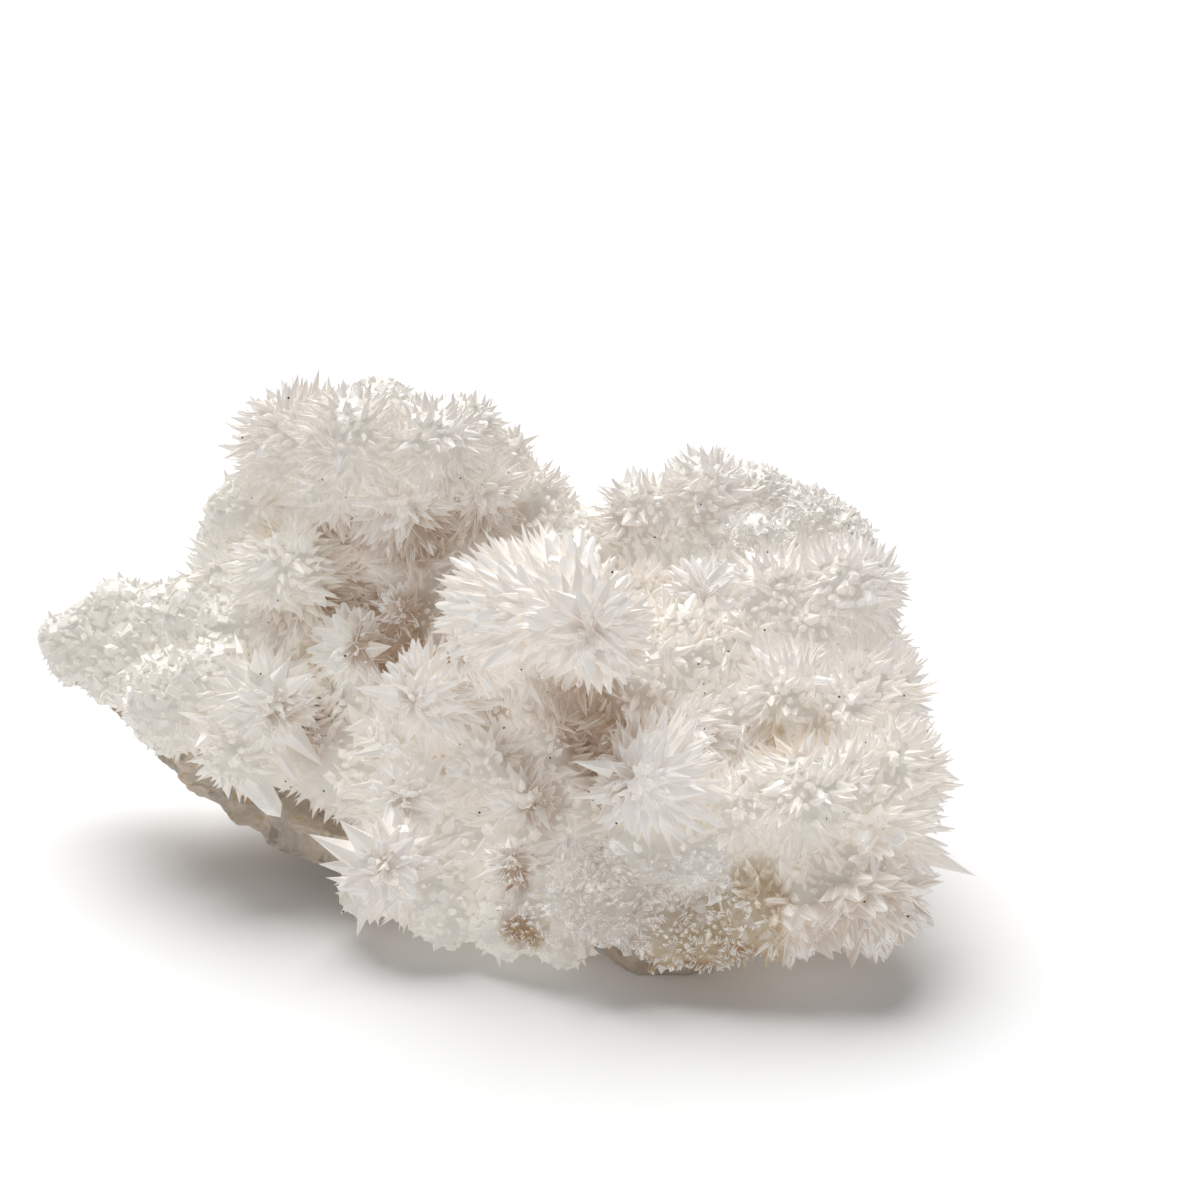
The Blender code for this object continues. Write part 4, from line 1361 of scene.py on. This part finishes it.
class CALCITE_OT_druse(bpy.types.Operator):
    """Covers the druse lumps with clear grains over milky ones."""

    bl_idname = "calcite.druse"
    bl_label = "Druse"

    def execute(self, context):
        settings = context.scene.crystals
        rng = np.random.default_rng(settings.seed + 3)
        spots = shared["spots"]
        grains = rng.permutation(np.flatnonzero(spots.kinds == "druse"))
        clear_ones, milky_ones = np.split(grains, [CLEAR_GRAINS])
        milky = Crystals()
        heights = rng.triangular(0.6, 1.0, 2.4, len(milky_ones))
        widths = rng.uniform(0.6, 1.1, len(milky_ones))
        on_spots(milky, grain_form(), milky_ones, heights, widths, GRAINS, rng)
        material = crystal_material("milky druse", settings, 0.3, settings.glow, (0.85, 0.84, 0.83))
        make_piece("milky_druse", milky.join("milky_druse"), material)
        clear = Crystals()
        heights = rng.triangular(1.0, 1.6, 3.0, len(clear_ones))
        widths = rng.uniform(0.7, 1.2, len(clear_ones))
        on_spots(clear, grain_form(), clear_ones, heights, widths, GRAINS, rng)
        material = clear_material("clear druse", 0.55, 0.12)
        make_piece("clear_druse", clear.join("clear_druse"), material)
        clear = Crystals()
        for foot, tip, half in CLEAR_CRYSTALS:
            # The pair (0.9, 1.0) is painted shade, a little darker at the foot
            clear.add_one(blunt_form(), foot, tip, half, (1.0, 0.2, 0.1), 0.9, 0.5, (0.9, 1.0))
        material = clear_material("clear calcite", 0.85, 0.04)
        make_piece("clear_crystals", clear.join("clear_crystals"), material)
        return {"FINISHED"}


class CALCITE_OT_standing_crystals(bpy.types.Operator):
    """Builds the large single crystals that stand out from the lumps."""

    bl_idname = "calcite.standing_crystals"
    bl_label = "Standing crystals"

    def execute(self, context):
        settings = context.scene.crystals
        rng = np.random.default_rng(settings.seed + 2)
        crystals = Crystals()
        forms = {"blunt": blunt_form(), "sharp": sharp_form()}
        for foot, tip, half, form in STANDING.values():
            way = np.array(tip, float) - np.array(foot, float)
            side = np.cross(way, BACKWARDS) + rng.normal(0, np.linalg.norm(way) * 0.2, 3)
            # The pair (0.6, 1.0) is painted shade, darker at the foot
            crystals.add_one(forms[form], foot, tip, half, side, 0.62, 0.7, (0.6, 1.0))
        material = crystal_material("standing crystals", settings, 0.3, settings.glow, (1.0, 1.0, 0.98))
        make_piece("standing_crystals", crystals.join("standing_crystals"), material)
        return {"FINISHED"}


class CALCITE_OT_stage(bpy.types.Operator):
    """Sets the floor, the light and the camera."""

    bl_idname = "calcite.stage"
    bl_label = "Stage"

    def execute(self, context):
        settings = context.scene.stage
        scene = context.scene
        bm = bmesh.new()
        bmesh.ops.create_grid(bm, x_segments=1, y_segments=1, size=4.0)
        mesh = bpy.data.meshes.new("floor")
        bm.to_mesh(mesh)
        bm.free()
        mesh.materials.append(floor_material())
        floor = bpy.data.objects.new("floor", mesh)
        scene.collection.objects.link(floor)
        world = bpy.data.worlds.new("white surround")
        world.use_nodes = True
        scene.world = world
        sky = world.node_tree.nodes["Background"]
        sky.inputs["Color"].default_value = (1.0, 1.0, 1.0, 1.0)
        sky.inputs["Strength"].default_value = settings.sky
        for name, power, spread, way in LIGHTS:
            light = bpy.data.lights.new(name, "SUN")
            light.energy = getattr(settings, power)
            light.angle = math.radians(spread)
            lamp = bpy.data.objects.new(name, light)
            scene.collection.objects.link(lamp)
            lamp.rotation_euler = Vector(way).to_track_quat("-Z", "Y").to_euler()
        view = Vector((0, math.cos(settings.elevation), -math.sin(settings.elevation)))
        camera = bpy.data.cameras.new("camera")
        camera.sensor_width = SENSOR
        camera.lens = SENSOR * settings.distance / (PIXEL * FRAME_SIDE)
        eye = bpy.data.objects.new("camera", camera)
        scene.collection.objects.link(eye)
        eye.location = Vector(AIM) - view * settings.distance
        eye.rotation_euler = view.to_track_quat("-Z", "Y").to_euler()
        scene.camera = eye
        scene.view_settings.view_transform = "Standard"
        return {"FINISHED"}


class CALCITE_PT_builder(bpy.types.Panel):
    """Lists the settings and the steps that build the specimen."""

    bl_label = "Calcite specimen"
    bl_idname = "CALCITE_PT_builder"
    bl_space_type = "VIEW_3D"
    bl_region_type = "UI"
    bl_category = "Calcite"

    def draw(self, context):
        for group in (context.scene.crystals, context.scene.host_rock, context.scene.stage):
            box = self.layout.box()
            for key in group.__annotations__:
                box.prop(group, key)
        for step in STEPS:
            self.layout.operator(step.bl_idname)


GROUPS = (CrystalSettings, RockSettings, StageSettings)
STEPS = (
    CALCITE_OT_host_rock, CALCITE_OT_massive_calcite, CALCITE_OT_radiating_crystals,
    CALCITE_OT_small_crystals, CALCITE_OT_druse, CALCITE_OT_standing_crystals, CALCITE_OT_stage,
)
CLASSES = (*GROUPS, *STEPS, CALCITE_PT_builder)


def register():
    for made in CLASSES:
        bpy.utils.register_class(made)
    bpy.types.Scene.crystals = PointerProperty(type=CrystalSettings)
    bpy.types.Scene.host_rock = PointerProperty(type=RockSettings)
    bpy.types.Scene.stage = PointerProperty(type=StageSettings)


def unregister():
    del bpy.types.Scene.crystals
    del bpy.types.Scene.host_rock
    del bpy.types.Scene.stage
    for made in reversed(CLASSES):
        bpy.utils.unregister_class(made)


def main():
    register()
    bpy.ops.calcite.host_rock()
    bpy.ops.calcite.massive_calcite()
    bpy.ops.calcite.radiating_crystals()
    bpy.ops.calcite.small_crystals()
    bpy.ops.calcite.druse()
    bpy.ops.calcite.standing_crystals()
    bpy.ops.calcite.stage()


if __name__ == "__main__":
    main()
